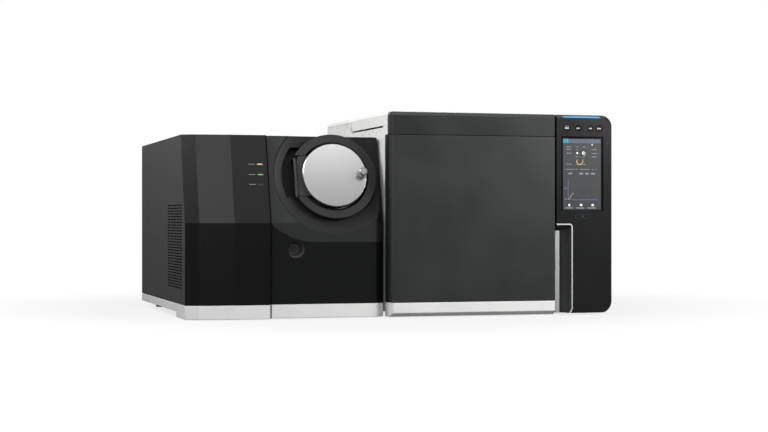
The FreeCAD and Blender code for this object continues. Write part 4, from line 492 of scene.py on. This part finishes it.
# %% The finish of every solid
finishes = {
    "base_strips": (white_moulding, 0.8),
    "rubber_feet": (black_rubber, 0.5),
    "gc_base_pan": (zinc_sheet, 0.0),
    "gc_left_panel": (white_powder_coat, 0.3),
    "gc_right_panel": (white_powder_coat, 0.3),
    "gc_rear_panel": (grey_powder_coat, 0.3),
    "gc_top_cover": (white_powder_coat, 0.3),
    "gc_top_deck": (white_powder_coat, 0.3),
    "oven_front_frame": (satin_black, 0.5),
    "oven_liner": (stainless_sheet, 0.2),
    "oven_blanket": (ceramic_fibre, 0.0),
    "oven_baffle": (stainless_sheet, 0.2),
    "oven_heater": (heater_sheath, 0.0),
    "oven_fan": (stainless_sheet, 0.0),
    "fan_motor": (cast_motor, 0.4),
    "column_coil": (amber_capillary, 0.0),
    "column_cage": (machined_steel, 0.3),
    "injection_port": (machined_steel, 0.3),
    "septum_nut": (black_anodised, 0.3),
    "exhaust_flap": (grey_powder_coat, 0.3),
    "gas_fittings": (turned_brass, 0.3),
    "power_inlets": (satin_black, 0.3),
    "oven_door_panel": (door_moulding, 0.7),
    "oven_door_insulation": (ceramic_fibre, 0.0),
    "oven_door_liner": (stainless_sheet, 0.4),
    "oven_door_seal": (grey_silicone, 0.3),
    "oven_door_handle": (satin_aluminium, 0.6),
    "hinge_pins": (machined_steel, 0.0),
    "lid_cover": (white_powder_coat, 0.4),
    "lid_front": (lid_moulding, 0.7),
    "panel_housing": (column_moulding, 0.7),
    "touch_screen": (key_gloss, 0.3),
    "light_bar": (blue_bar, 0.3),
    "handle_trim": (chrome_strip, 0.2),
    "control_board": (board_green, 0.0),
    "panel_button_1": (key_gloss, 0.5),
    "panel_button_2": (key_gloss, 0.5),
    "panel_button_3": (key_gloss, 0.5),
    "panel_button_4": (key_gloss, 0.5),
    "ms_base_tray": (zinc_sheet, 0.0),
    "ms_front_cover_left": (left_cover_finish, 0.8),
    "ms_front_cover_right": (right_cover_finish, 0.7),
    "ms_side_cover": (dark_powder_coat, 0.12),
    "ms_top_cover": (dark_powder_coat, 0.4),
    "ms_rear_panel": (grey_powder_coat, 0.3),
    "status_lights": (amber_lamp, 0.3),
    "vacuum_door": (turned_aluminium, 0.6),
    "vacuum_door_seal": (black_rubber, 0.0),
    "vacuum_door_hinge": (satin_black, 0.6),
    "vacuum_door_knob": (knob_metal, 0.5),
    "vacuum_chamber": (cast_aluminium, 0.5),
    "ion_source": (machined_steel, 0.2),
    "quadrupole_rods": (machined_steel, 0.0),
    "detector": (machined_steel, 0.0),
    "turbo_pump": (cast_aluminium, 0.3),
    "turbo_rotor": (machined_steel, 0.0),
    "transfer_line": (machined_steel, 0.2),
    "power_button": (button_satin, 0.8),
    "cooling_fan": (fan_plastic, 0.0),
    "ms_circuit_board": (board_green, 0.0),
}
dressed_pieces = {node: dressed(node, *finish) for node, finish in finishes.items()}
print(len(dressed_pieces), "solids dressed; left plain:", sorted(set(frame["nodes"]) - set(finishes)))

# %% [markdown]
# The three status lamps are one node, but they don't glow alike. Each face of the mesh takes its
# material from its height: the top lamp is amber, the middle one green and the lowest is off.

# %% Status lamps, one colour each
lamps = dressed_pieces["status_lights"].data
lamps.materials.append(green_lamp)
lamps.materials.append(dark_lamp)
heights = np.array([f.center.z for f in lamps.polygons])
levels = np.linspace(heights.min(), heights.max(), 4)
kinds = np.where(heights > levels[2], 0, np.where(heights > levels[1], 1, 2))
lamps.polygons.foreach_set("material_index", kinds.astype(np.int32))
print("faces per lamp", np.bincount(kinds))

# %% [markdown]
# What surrounds the round door is measured on the leaning face of the right cover: u to the right,
# s up the slope and h out of it. A place is given from the face's origin at the crease, and the
# distance of a point from the door's axis is sqrt(u^2 + s^2), taken from the door's centre.

# %% Places on the leaning face
right_face_mm = 22.0
door_u, door_s = -111.5, 103.0
slope_way = Vector((0.0, math.sin(lean), math.cos(lean)))
outward = Vector((0.0, -math.cos(lean), math.sin(lean)))


def on_face(u, s, h):
    """A point of the right cover's leaning face: its origin + s times the slope + h times the normal."""
    return spot(u, right_face_mm, crease) + (slope_way * s + outward * h) * MM


def from_door(centres):
    """u, s, h and sqrt(u^2 + s^2) of points, in mm and from the round door's centre on the face."""
    away = (centres - np.array(on_face(door_u, door_s, 0.0))) / MM
    s = away @ np.array(slope_way)
    return away[:, 0], s, away @ np.array(outward), np.hypot(away[:, 0], s)


print("round door's centre", [round(v, 3) for v in on_face(door_u, door_s, 0.0)])

# %% [markdown]
# The painted light and shade of the hollows, and the dish's finish, lie on faces of larger mouldings.
# Each is the set of faces whose centres lie within a few limits in millimetres.


# %% Painted light and shade in the hollows
def paint_hollow(node, material, test):
    """Gives a material to the faces of a dressed piece whose centres (x, y, z) pass a test."""
    mesh = dressed_pieces[node].data
    mesh.materials.append(material)
    chosen = test(np.array([f.center for f in mesh.polygons]))
    kinds = np.zeros(len(mesh.polygons), dtype=np.int32)
    mesh.polygons.foreach_get("material_index", kinds)
    kinds[chosen] = len(mesh.materials) - 1
    mesh.polygons.foreach_set("material_index", kinds)
    print(int(chosen.sum()), "faces of", node, "are", material.name)


def in_recess(centres, least=0.5, depth=33.5):
    """Between two depths behind the column's front, left of the bright strip and lower than its top."""
    trim_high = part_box("handle_trim")[1]
    behind = (centres[:, 1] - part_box("panel_housing")[0].y) / MM
    return (behind > least) & (behind < depth) & (centres[:, 0] < trim_high.x) & (centres[:, 2] < trim_high.z)


def in_slots(centres, front_back=(61.0, 252.0), foot_top=(60.0, 242.0), skin=0.2):
    """Walls of the slots: within the grille and behind the side cover's outer face."""
    away = (centres - np.array(corner)) / MM
    inside = (away[:, 1] > front_back[0]) & (away[:, 1] < front_back[1])
    inside &= (away[:, 2] > foot_top[0]) & (away[:, 2] < foot_top[1])
    return inside & (centres[:, 0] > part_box("ms_side_cover")[0].x + skin * MM)


def in_dish(centres, shallow=0.15, deep=14.0, inner=94.4, outer=131.5):
    """The bowl round the ring: between two distances from the door's axis, sunk below the face."""
    h, reach = from_door(centres)[2:]
    return (h < -shallow) & (h > -deep) & (reach > inner) & (reach < outer)


def in_cone(centres, axis=(-199.8, right_face_mm, 144.9), radius=18.6, least=0.4):
    """Within a radius of the power button's axis, behind the cover's front."""
    away = (centres - np.array(spot(*axis))) / MM
    return (np.hypot(away[:, 0], away[:, 2]) < radius) & (away[:, 1] > least)


def in_pocket(centres, shallow=10.8, deep=26.0, inner=70.0, outer=113.5, right_end=-55.0, half_height=68.0):
    """Left of the round door: between two distances from its axis and two depths under the face."""
    u, s, h, reach = from_door(centres)
    sunk = (h < -shallow) & (h > -deep) & (abs(s) < half_height)
    return sunk & (u < right_end) & (reach > inner) & (reach < outer)


# The finger recess gets a paler tone: painted light.
paint_hollow("panel_housing", recess_painted_light, in_recess)
# The walls of the side's slots go near black: painted shade.
paint_hollow("ms_side_cover", black_print_and_painted_shade, in_slots)
paint_hollow("ms_front_cover_right", dish_satin, in_dish)
# The cone round the power button gets a paler tone: painted highlight.
paint_hollow("ms_front_cover_right", cone_painted_highlight, in_cone)
# The hinge pocket gets a darker tone: painted shade.
paint_hollow("ms_front_cover_right", pocket_painted_shade, in_pocket)

# %% [markdown]
# What the screen shows is a set of flat shapes: a title bar, rows of values, a dial, a chart and
# three soft keys. Each is a small sheet that lies under a tenth of a millimetre off the glass, so it
# is sharp at any size and needs no picture. No lettering is drawn: short bars stand for values.


# %% Flat shapes from grids
def sheet_mesh(name, grids, material, body, facing=(0.0, -1.0, 0.0)):
    """Joins grids of points, each (rows, columns, 3), into one mesh of quads on a body.

    A quad's normal is half the cross product of its diagonals. A grid whose normals add up to a
    vector against the facing direction is turned over. Points in one place are merged.
    """
    points, faces, first = [], [], 0
    for grid in grids:
        rows, columns = grid.shape[:2]
        index = first + np.arange(rows * columns).reshape(rows, columns)
        ends = [index[:-1, :-1], index[:-1, 1:], index[1:, 1:], index[1:, :-1]]
        quads = np.stack(ends, axis=-1).reshape(-1, 4)
        normals = np.cross(grid[1:, 1:] - grid[:-1, :-1], grid[1:, :-1] - grid[:-1, 1:])
        if normals.sum(axis=(0, 1)) @ np.array(facing) < 0.0:
            quads = quads[:, ::-1]
        points.append(grid.reshape(-1, 3))
        faces.append(quads)
        first += rows * columns
    mesh = bpy.data.meshes.new(name)
    mesh.from_pydata(np.concatenate(points).tolist(), [], np.concatenate(faces).tolist())
    shell = bmesh.new()
    shell.from_mesh(mesh)
    bmesh.ops.remove_doubles(shell, verts=shell.verts, dist=0.002 * MM)
    shell.to_mesh(mesh)
    shell.free()
    mesh.materials.append(material)
    piece = bpy.data.objects.new(name, mesh)
    bpy.context.scene.collection.objects.link(piece)
    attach(piece, body)
    return piece


glass_low, glass_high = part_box("touch_screen")
print_gap = 0.05 * MM
front_of_glass = glass_low.y - print_gap


def bar(x0, x1, z0, z1, y=None):
    """A flat rectangle facing front, from millimetres right of and above the glass's lower left corner."""
    across, up = np.meshgrid(np.array([x0, x1]) * MM, np.array([z0, z1]) * MM)
    depth = np.full_like(across, front_of_glass if y is None else y)
    return np.stack([glass_low.x + across, depth, glass_low.z + up], axis=-1)


def arc(x, z, inner, outer, start, end, steps=24, y=None):
    """A flat ring segment: (x + r cos a, z + r sin a) for radius r from inner to outer and angle a."""
    angle, radius = np.meshgrid(np.radians(np.linspace(start, end, steps)), np.array([inner, outer]) * MM)
    depth = np.full_like(angle, front_of_glass if y is None else y)
    across = glass_low.x + x * MM + radius * np.cos(angle)
    up = glass_low.z + z * MM + radius * np.sin(angle)
    return np.stack([across, depth, up], axis=-1)


def ribbon(xs, zs, width):
    """A flat line of a width along points: each point is moved half the width to either side."""
    middle = np.stack([glass_low.x + np.array(xs) * MM, glass_low.z + np.array(zs) * MM], axis=-1)
    way = np.gradient(middle, axis=0)
    side = np.stack([-way[:, 1], way[:, 0]], axis=-1) / np.linalg.norm(way, axis=1)[:, None] * width * MM / 2
    edges = np.stack([middle + side, middle - side])
    depth = np.full(edges.shape[:2] + (1,), front_of_glass)
    return np.concatenate([edges[..., :1], depth, edges[..., 1:]], axis=-1)


# %% [markdown]
# A display is lit from behind, so its colours are given as light and hardly change with the lamps in
# the room. The same function also gives the prints on the keys, the column and the cover a weak light of
# their own, which they don't have: painted glow.


# %% Screen colours, and prints with painted glow
def lit(name, dark, pale, strength=0.55):
    """A colour with light of its own, backlit on the screen and painted glow on prints: it varies slightly
    over a few millimetres.
    """
    material, tree, principled = surface(name)
    place = add(tree, "ShaderNodeTexCoord").outputs["Object"]
    grain = add(tree, "ShaderNodeTexNoise", {"Vector": place}, Scale=1.0 / (8.0 * MM))
    tint = blend(tree, grain.outputs[0], dark, pale)
    tree.links.new(tint, principled.inputs["Emission Color"])
    tree.links.new(tint, principled.inputs["Base Color"])
    principled.inputs["Emission Strength"].default_value = strength
    principled.inputs["Roughness"].default_value = 0.3
    return material


screen_grey = lit("screen ground", "#2b2c2d", "#363738", 0.5)
screen_slate = lit("screen title bar", "#3a4452", "#455161", 0.7)
screen_cyan = lit("screen tag", "#176f80", "#1f8394", 0.5)
screen_white = lit("screen white", "#d5d8da", "#e6e8ea", 0.9)
screen_faint = lit("screen faint text", "#62666e", "#7a7e88", 0.6)
screen_violet = lit("screen axis", "#5c5f8e", "#6c6fa2", 0.8)
screen_amber = lit("screen dial", "#a08748", "#c0a660", 0.6)
# These three prints glow with a little light of their own: painted glow.
key_print_and_glow = lit("white key print with painted glow", "#a9abad", "#c0c2c4", 0.25)
home_print_and_glow = lit("faint key print with painted glow", "#323436", "#3c3e40", 0.1)
caption_print_and_painted_light = lit("grey caption print with painted light", "#6c6e70", "#7c7e80", 0.1)
print(len(bpy.data.materials), "materials so far")

# %% [markdown]
# Distances on the screen are in millimetres from the glass's lower left corner. A title bar with a
# coloured tag runs along the top. Rows of values and small icons lie under it, then a dial, a chart's
# two axes with a short curve, and the soft keys. Each group is one mesh of one colour.

# %% The picture on the screen
glass_width = (glass_high.x - glass_low.x) / MM
glass_height = (glass_high.z - glass_low.z) / MM
left, right, low, high = 1.2, glass_width - 3.0, 1.8, glass_height - 2.6
title_foot = high - 9.0
above_ground_mm = 0.03
print("glass", round(glass_width, 1), "x", round(glass_height, 1), "mm")


def layer(grids, depth_mm):
    """Moves grids towards the viewer, so that one shape lies over another."""
    return [g - np.array([0.0, depth_mm * MM, 0.0]) for g in grids]


ground = [bar(left, right, low, title_foot)]
title = [bar(left, right, title_foot, high)]
tag = [bar(left, left + 13.0, title_foot, high)]
values = []
for line, up in enumerate((high - 17.0, high - 22.5, high - 31.0, high - 38.5, high - 55.0)):
    for column, (start, length) in enumerate(((9.0, 12.0), (32.0, 6.0), (48.0, 7.0), (69.0, 13.0))):
        if (line + column) % 4 != 3:
            values.append(bar(start, start + length - 1.5 * (line % 2), up - 1.4, up))
for start, length in ((5.0, 22.0), (30.0, 5.0), (42.0, 22.0), (70.0, 4.0), (78.0, 3.0)):
    values.append(bar(start, start + length, high - 67.5, high - 66.2))
for start in (14.0, 40.0, 54.0, 68.0):
    values.append(bar(start, start + 9.0, high - 78.0, high - 74.5))
for start in (6.0, 32.0, 60.0):
    values.append(bar(start, start + 19.0, low + 2.5, low + 4.6))
dial = [arc(41.0, high - 49.0, 6.4, 8.0, 150.0, 390.0)]
knots = [arc(35.0, high - 31.0, 0.0, 2.0, 0.0, 360.0), arc(50.0, high - 31.0, 2.2, 3.4, 60.0, 300.0)]
knots += [bar(50.0, 54.5, high - 30.4, high - 29.6), bar(52.0, 53.5, high - 35.4, high - 34.2)]
keys = [bar(14.4, 17.8, low + 7.6, low + 12.0), bar(41.8, 46.6, low + 8.0, low + 12.0)]
keys += [bar(69.2, 73.6, low + 8.0, low + 12.0), bar(69.4, 71.0, high - 14.0, high - 11.0)]
axes = [bar(13.0, 13.7, low + 22.0, low + 66.0), bar(13.0, 84.0, low + 21.4, low + 22.0)]
axes += [bar(5.0, 11.0, low + 46.0, low + 47.4), bar(5.0, 11.0, low + 22.4, low + 23.8)]
curve = [ribbon([13.5, 18.0, 22.0, 26.5], [low + 22.5, low + 26.0, low + 33.0, low + 36.5], 0.9)]
for name, grids, depth, material in (
    ("screen_ground", ground, 0.0, screen_grey),
    ("screen_title", title, 0.0, screen_slate),
    ("screen_tag", tag, above_ground_mm, screen_cyan),
    ("screen_values", values, above_ground_mm, screen_faint),
    ("screen_chart_axes", axes, above_ground_mm, screen_violet),
    ("screen_dial_and_curve", dial + curve, above_ground_mm, screen_amber),
    ("screen_icons", knots + keys, above_ground_mm, screen_white),
):
    piece = sheet_mesh(name, layer(grids, depth), material, "instrument")
    print(name, "has", len(grids), "shapes")

# %% [markdown]
# Each key carries a small printed mark of three or four bars, which has to move with its key. The
# first key has an arc above its bars too.

# %% Marks on the keys
key_marks = ((10.0, 3.0, 4), (8.2, 2.4, 3), (7.2, 2.6, 3), (9.0, 2.8, 3))  # width, height, bars
bar_share = 0.78
for number, (width, height, parts) in enumerate(key_marks, 1):
    node = f"panel_button_{number}"
    key_low, key_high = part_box(node)
    middle = (key_low + key_high) / 2 - glass_low
    x, z, y = middle.x / MM, middle.z / MM, key_low.y - print_gap
    pitch = width / parts
    starts = [x - width / 2 + pitch * i for i in range(parts)]
    marks = [bar(start, start + bar_share * pitch, z - height / 2, z + height / 2, y) for start in starts]
    if number == 1:
        marks.append(arc(x, z - 1.0, 5.6, 6.2, 40.0, 140.0, y=y))
    sheet_mesh(f"key_{number}_print", marks, key_print_and_glow, node)
    print(node, "carries", len(marks), "marks")

# %% [markdown]
# Two things are printed on the column itself. The home key under the screen is a flat frame with a bar
# in it, and a black edge runs round the screen at its left, above it and at its right.

# %% Prints on the column
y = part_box("panel_housing")[0].y - print_gap
home_left, home_right, home_foot, home_top, line_mm = 31.0, 64.0, -17.4, -9.0, 0.4
home = [
    bar(home_left, home_right, home_top - line_mm, home_top, y),
    bar(home_left, home_right, home_foot, home_foot + line_mm, y),
    bar(44.5, 50.5, -14.4, -12.0, y),
    bar(home_left, home_left + line_mm, home_foot, home_top, y),
    bar(home_right - line_mm, home_right, home_foot, home_top, y),
]
sheet_mesh("home_key_print", home, home_print_and_glow, "instrument")
edge = [bar(94.3, 96.9, -1.0, 162.6, y), bar(-1.0, 94.3, 160.3, 162.6, y), bar(-2.6, -0.4, -1.0, 162.6, y)]
sheet_mesh("screen_edge_print", edge, black_print_and_painted_shade, "instrument")
print("home key", home_right - home_left, "x", round(home_top - home_foot, 1), "mm")

# %% [markdown]
# A thin black strip along the joint between the spectrometer's two front covers, from the white strip
# to the top, is painted shade in the joint, and short grey captions stand left of the lamps. Both lie on
# the left cover, whose front leans back above the crease. Its facet beside the joint also runs back by
# 1 mm over its width.


# %% Painted shade in the joint, and captions
joint_x, joint_front_mm, facet_width = -257.9, 1.0, 77.1
shade_left, shade_right, shade_heights = -260.0, -257.4, (1.0, 28.0, crease, 384.8)


def leaning_y(x, z):
    """Depth of the left cover's front: 1 + (joint - x) / facet width + max(0, z - crease) tan(lean)."""
    return joint_front_mm + (joint_x - x) / facet_width + max(0.0, z - crease) * math.tan(lean)


def strip_up(x0, x1, heights, proud_mm):
    """A grid up the left cover's front, from x0 to x1 and a little proud of it."""
    rows = [[spot(x, leaning_y(x, z) - proud_mm, z) for x in (x0, x1)] for z in heights]
    return np.array([[list(p) for p in row] for row in rows])


# A near-black strip along the joint: painted shade in the gap between the covers.
joint = [strip_up(shade_left, shade_right, shade_heights, 0.4)]
sheet_mesh("cover_joint_painted_shade", joint, black_print_and_painted_shade, "instrument")
captions = []
for height in lamp_heights:
    for start, length in ((-300.0, 4.6), (-294.8, 3.0), (-291.2, 4.8)):
        captions.append(strip_up(start, start + length, (height - 0.7, height + 0.7), 0.1))
sheet_mesh("lamp_captions", captions, caption_print_and_painted_light, "instrument")
print("trim", round(shade_right - shade_left, 1), "mm wide,", len(captions), "caption bars")

# %% [markdown]
# A black ring lies in the gap round the vacuum door: painted shade in the gap. It's a flat ring about
# the door's axis, sunk under the leaning face, and it is open at the left, where the door's hinge tab moves.

# %% Painted shade in the gap round the vacuum door
inner_mm, outer_mm, sunk_mm = 70.7, 74.8, 6.0
open_from, open_to = math.radians(152.0), math.radians(208.0)
angle, radius = np.meshgrid(np.linspace(0.0, 2.0 * np.pi, 97), np.array([inner_mm, outer_mm]))
sideways = (radius * np.cos(angle))[..., None] * np.array([1.0, 0.0, 0.0])
up_slope = (radius * np.sin(angle))[..., None] * np.array(slope_way)
# A near-black ring in the gap: painted shade.
gap_shade = np.array(on_face(door_u, door_s, -sunk_mm)) + MM * (sideways + up_slope)
pieces = [gap_shade[:, angle[0] <= open_from], gap_shade[:, angle[0] >= open_to]]
gap_shade_sheet = sheet_mesh("round_door_gap_shade", pieces, black_print_and_painted_shade, "instrument", outward)
print("gap_shade", inner_mm, "to", outer_mm, "mm from the axis")

# %% [markdown]
# A black sheet lies behind the bank of slots in the spectrometer's side: painted shade, so that the
# slots look dark and hide the inside. It's one flat sheet, a little larger than the bank.

# %% Painted shade behind the slots
grille_shade_behind_mm, grille_shade_front_back, grille_shade_foot_top = 2.4, (58.0, 255.0), (56.0, 244.0)
facing_left = (-1.0, 0.0, 0.0)
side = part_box("ms_side_cover")[0].x + grille_shade_behind_mm * MM
across, up = np.meshgrid(np.array(grille_shade_front_back) * MM, np.array(grille_shade_foot_top) * MM)
# A near-black sheet behind the slots: painted shade.
grille_shade = np.stack([np.full_like(across, side), corner.y + across, corner.z + up], axis=-1)
grille_shade_sheet = sheet_mesh("grille_painted_shade", [grille_shade], black_print_and_painted_shade, "instrument", facing_left)
print("mat lies", grille_shade_behind_mm, "mm behind the side's outer face")

# %% [markdown]
# A black disc in each of the six small vents in the chromatograph's left wall, which stand in a zigzag,
# is painted shade in the hole. A disc is a ring whose inner radius is nothing, so its inner points merge
# into one.

# %% Painted shade in the vents
vent_height, zigzag_mm, vent_radius, vent_shade_behind_mm = 399.5, 1.5, 2.0, 0.15
# Near-black discs in the vent holes: painted shade.
vent_shade = []
for number, depth in enumerate((80.0, 108.0, 136.0, 164.0, 192.0, 220.0)):
    angle, radius = np.meshgrid(np.linspace(0.0, 2.0 * np.pi, 17), np.array([0.0, vent_radius]))
    height = vent_height + zigzag_mm * (1 - 2 * (number % 2))
    behind = np.full_like(angle, vent_shade_behind_mm)
    disc = np.stack([behind, depth + radius * np.cos(angle), height + radius * np.sin(angle)], axis=-1)
    vent_shade.append(np.array(corner) + disc * MM)
vent_shade_sheet = sheet_mesh("wall_vent_painted_shade", vent_shade, black_print_and_painted_shade, "instrument", facing_left)
print(len(vent_shade), "discs of gauze")

# %% [markdown]
# The power button carries a pale ring about its axis, which moves with the button: a painted highlight
# round the button's edge.

# %% Painted highlight ring on the power button
ring_inner, ring_outer = 9.6, 10.5
button_low, button_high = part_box("power_button")
middle = (button_low + button_high) / 2
angle, radius = np.meshgrid(np.linspace(0.0, 2.0 * np.pi, 49), np.array([ring_inner, ring_outer]) * MM)
front = np.full_like(angle, button_low.y - print_gap)
ring = np.stack([middle.x + radius * np.cos(angle), front, middle.z + radius * np.sin(angle)], axis=-1)
# A pale ring round the button's edge: painted highlight.
sheet_mesh("power_button_highlight_ring", [ring], caption_print_and_painted_light, "power_button")
print("ring", round(ring_outer - ring_inner, 1), "mm wide")

# %% [markdown]
# Pan-head screws hold the two rear panels at their corners. A screw's head is a dome that stands on
# the panel's wall: h = height * sqrt(1 - (r / radius)^2), turned about its axis.


# %% Screws of the rear panels
inset_across, inset_up = 9.0 * MM, 12.0 * MM


def wall_depth(node):
    """Depth of a rear panel's wall: the y at which most of its area that faces back lies."""
    mesh = dressed_pieces[node].data
    areas = {}
    for face in mesh.polygons:
        if face.normal.y > 0.99:
            depth = round(face.center.y, 5)
            areas[depth] = areas.get(depth, 0.0) + face.area
    return max(areas, key=areas.get)


def screw_head(x, y, z, radius_mm=3.2, height_mm=1.5):
    """A dome on a rear wall: y = y0 + height * sqrt(1 - (r / radius)^2), r and angle in the wall's plane."""
    angle, share = np.meshgrid(np.linspace(0.0, 2.0 * np.pi, 25), np.linspace(1.0, 0.0, 7))
    bulge = height_mm * MM * np.sqrt(1.0 - share**2)
    reach = radius_mm * MM * share
    return np.stack([x + reach * np.cos(angle), y + bulge, z + reach * np.sin(angle)], axis=-1)


for node in ("gc_rear_panel", "ms_rear_panel"):
    low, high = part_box(node)
    wall = wall_depth(node)
    heads = []
    for x in (low.x + inset_across, high.x - inset_across):
        for z in (low.z + inset_up, high.z - inset_up):
            heads.append(screw_head(x, wall, z))
    sheet_mesh(node + "_screws", heads, machined_steel, "instrument", (0.0, 1.0, 0.0))
    print(node, "has", len(heads), "screws")

# %% [markdown]
# The floor is a large grey sheet. Seen by the camera it is lifted towards the white of the backdrop
# with light of its own, a little less near the instrument, and it still takes the soft shadow. Gloss
# sees a small part of that light.

# %% The floor
white = (1.0, 1.0, 1.0, 1.0)
floor_half = 6.0
floor_z = cad_low.z - 0.0002
near_m, far_m, near_share, glossy_share = 0.6, 1.6, 0.78, 0.07
floor_mesh = bpy.data.meshes.new("floor")
ways = ((-1, -1), (1, -1), (1, 1), (-1, 1))
floor_mesh.from_pydata([(floor_half * x, floor_half * y, floor_z) for x, y in ways], [], [(0, 1, 2, 3)])
floor = bpy.data.objects.new("floor", floor_mesh)
bpy.context.scene.collection.objects.link(floor)
floor_paint, tree, principled = surface("pale floor")
path = add(tree, "ShaderNodeLightPath")
place = add(tree, "ShaderNodeTexCoord").outputs["Object"]
away = add(tree, "ShaderNodeVectorMath", {0: place}, operation="LENGTH")
wash = ranged(tree, away.outputs["Value"], near_share, 1.0, From_Min=near_m, From_Max=far_m)
glossy = {0: path.outputs["Is Glossy Ray"]}
shine = add(tree, "ShaderNodeMath", glossy, operation="MULTIPLY", i1=glossy_share)
rays = {0: path.outputs["Is Camera Ray"], 1: shine.outputs[0]}
seen = add(tree, "ShaderNodeMath", rays, operation="MAXIMUM")
lift = add(tree, "ShaderNodeMath", {0: seen.outputs[0], 1: wash}, operation="MULTIPLY")
grain = add(tree, "ShaderNodeTexNoise", {"Vector": place}, Scale=4.0)
tint = blend(tree, grain.outputs[0], "#525252", "#565656")
tree.links.new(tint, principled.inputs["Base Color"])
tree.links.new(lift.outputs[0], principled.inputs["Emission Strength"])
principled.inputs["Emission Color"].default_value = white
principled.inputs["Roughness"].default_value = 0.9
principled.inputs["Specular IOR Level"].default_value = 0.1
floor_mesh.materials.append(floor_paint)
print("floor", 2 * floor_half, "m wide")

# %% [markdown]
# The world is the backdrop: white for the camera and through glass, and a dim grey light from all
# sides for everything else. Metal and gloss see a small part of the white.

# %% The world
dim, glossy_share = 0.22, 0.08
world = bpy.data.worlds.new("studio")
world.use_nodes = True
bpy.context.scene.world = world
tree = world.node_tree
path = add(tree, "ShaderNodeLightPath")
rays = {0: path.outputs["Is Camera Ray"], 1: path.outputs["Is Transmission Ray"]}
seen = add(tree, "ShaderNodeMath", rays, operation="MAXIMUM")
glossy = {0: path.outputs["Is Glossy Ray"]}
shine = add(tree, "ShaderNodeMath", glossy, operation="MULTIPLY", i1=glossy_share)
part = add(tree, "ShaderNodeMath", {0: seen.outputs[0], 1: shine.outputs[0]}, operation="MAXIMUM")
tree.links.new(ranged(tree, part.outputs[0], dim, 1.0), tree.nodes["Background"].inputs["Strength"])
tree.nodes["Background"].inputs["Color"].default_value = white
print("world made:", world.name)

# %% [markdown]
# Light comes from softboxes, large enough for soft shadows. The key light stands at the right, a wide
# one above gives the fronts their fall-off from top to bottom, and the one at the left is near enough
# for the spectrometer's side to darken towards its foot. A weak fill at the front left lifts the
# facets. Three more stand where dark gloss or bright metal mirrors them to the camera: the left
# cover's middle facet, the round door and, from behind, the long side. The world fills in.


# %% Softboxes
def softbox(name, place, aim, width, height, power):
    """A rectangular lamp at a place, turned to face a point."""
    lamp = bpy.data.lights.new(name, "AREA")
    lamp.shape = "RECTANGLE"
    lamp.size, lamp.size_y, lamp.energy = width, height, power
    holder = bpy.data.objects.new(name, lamp)
    holder.location = place
    holder.rotation_euler = (Vector(aim) - Vector(place)).to_track_quat("-Z", "Y").to_euler()
    bpy.context.scene.collection.objects.link(holder)
    print(name, "gives", power, "W")


softbox("key light at the right", (1.5, -1.45, 0.95), (0.2, -0.34, 0.25), 0.9, 0.6, 39.0)
softbox("softbox above", (0.1, -0.85, 1.5), (0.0, -0.34, 0.2), 2.2, 0.6, 10.0)
softbox("softbox at the left", (-1.12, -0.4, 1.05), (-0.3, -0.1, 0.35), 0.7, 0.5, 14.0)
softbox("fill at the front left", (-1.08, -2.5, 0.75), (-0.2, -0.33, 0.2), 0.8, 0.6, 10.0)
softbox("reflection for the left cover", (-0.56, -1.98, 1.38), (-0.41, -0.33, 0.3), 0.2, 0.5, 3.2)
softbox("reflection for the round door", (0.38, -1.9, 1.66), (-0.15, -0.3, 0.3), 0.5, 0.34, 1.8)
softbox("rim light behind", (-1.2, 1.7, 1.2), (-0.47, 0.0, 0.35), 0.8, 0.5, 12.0)
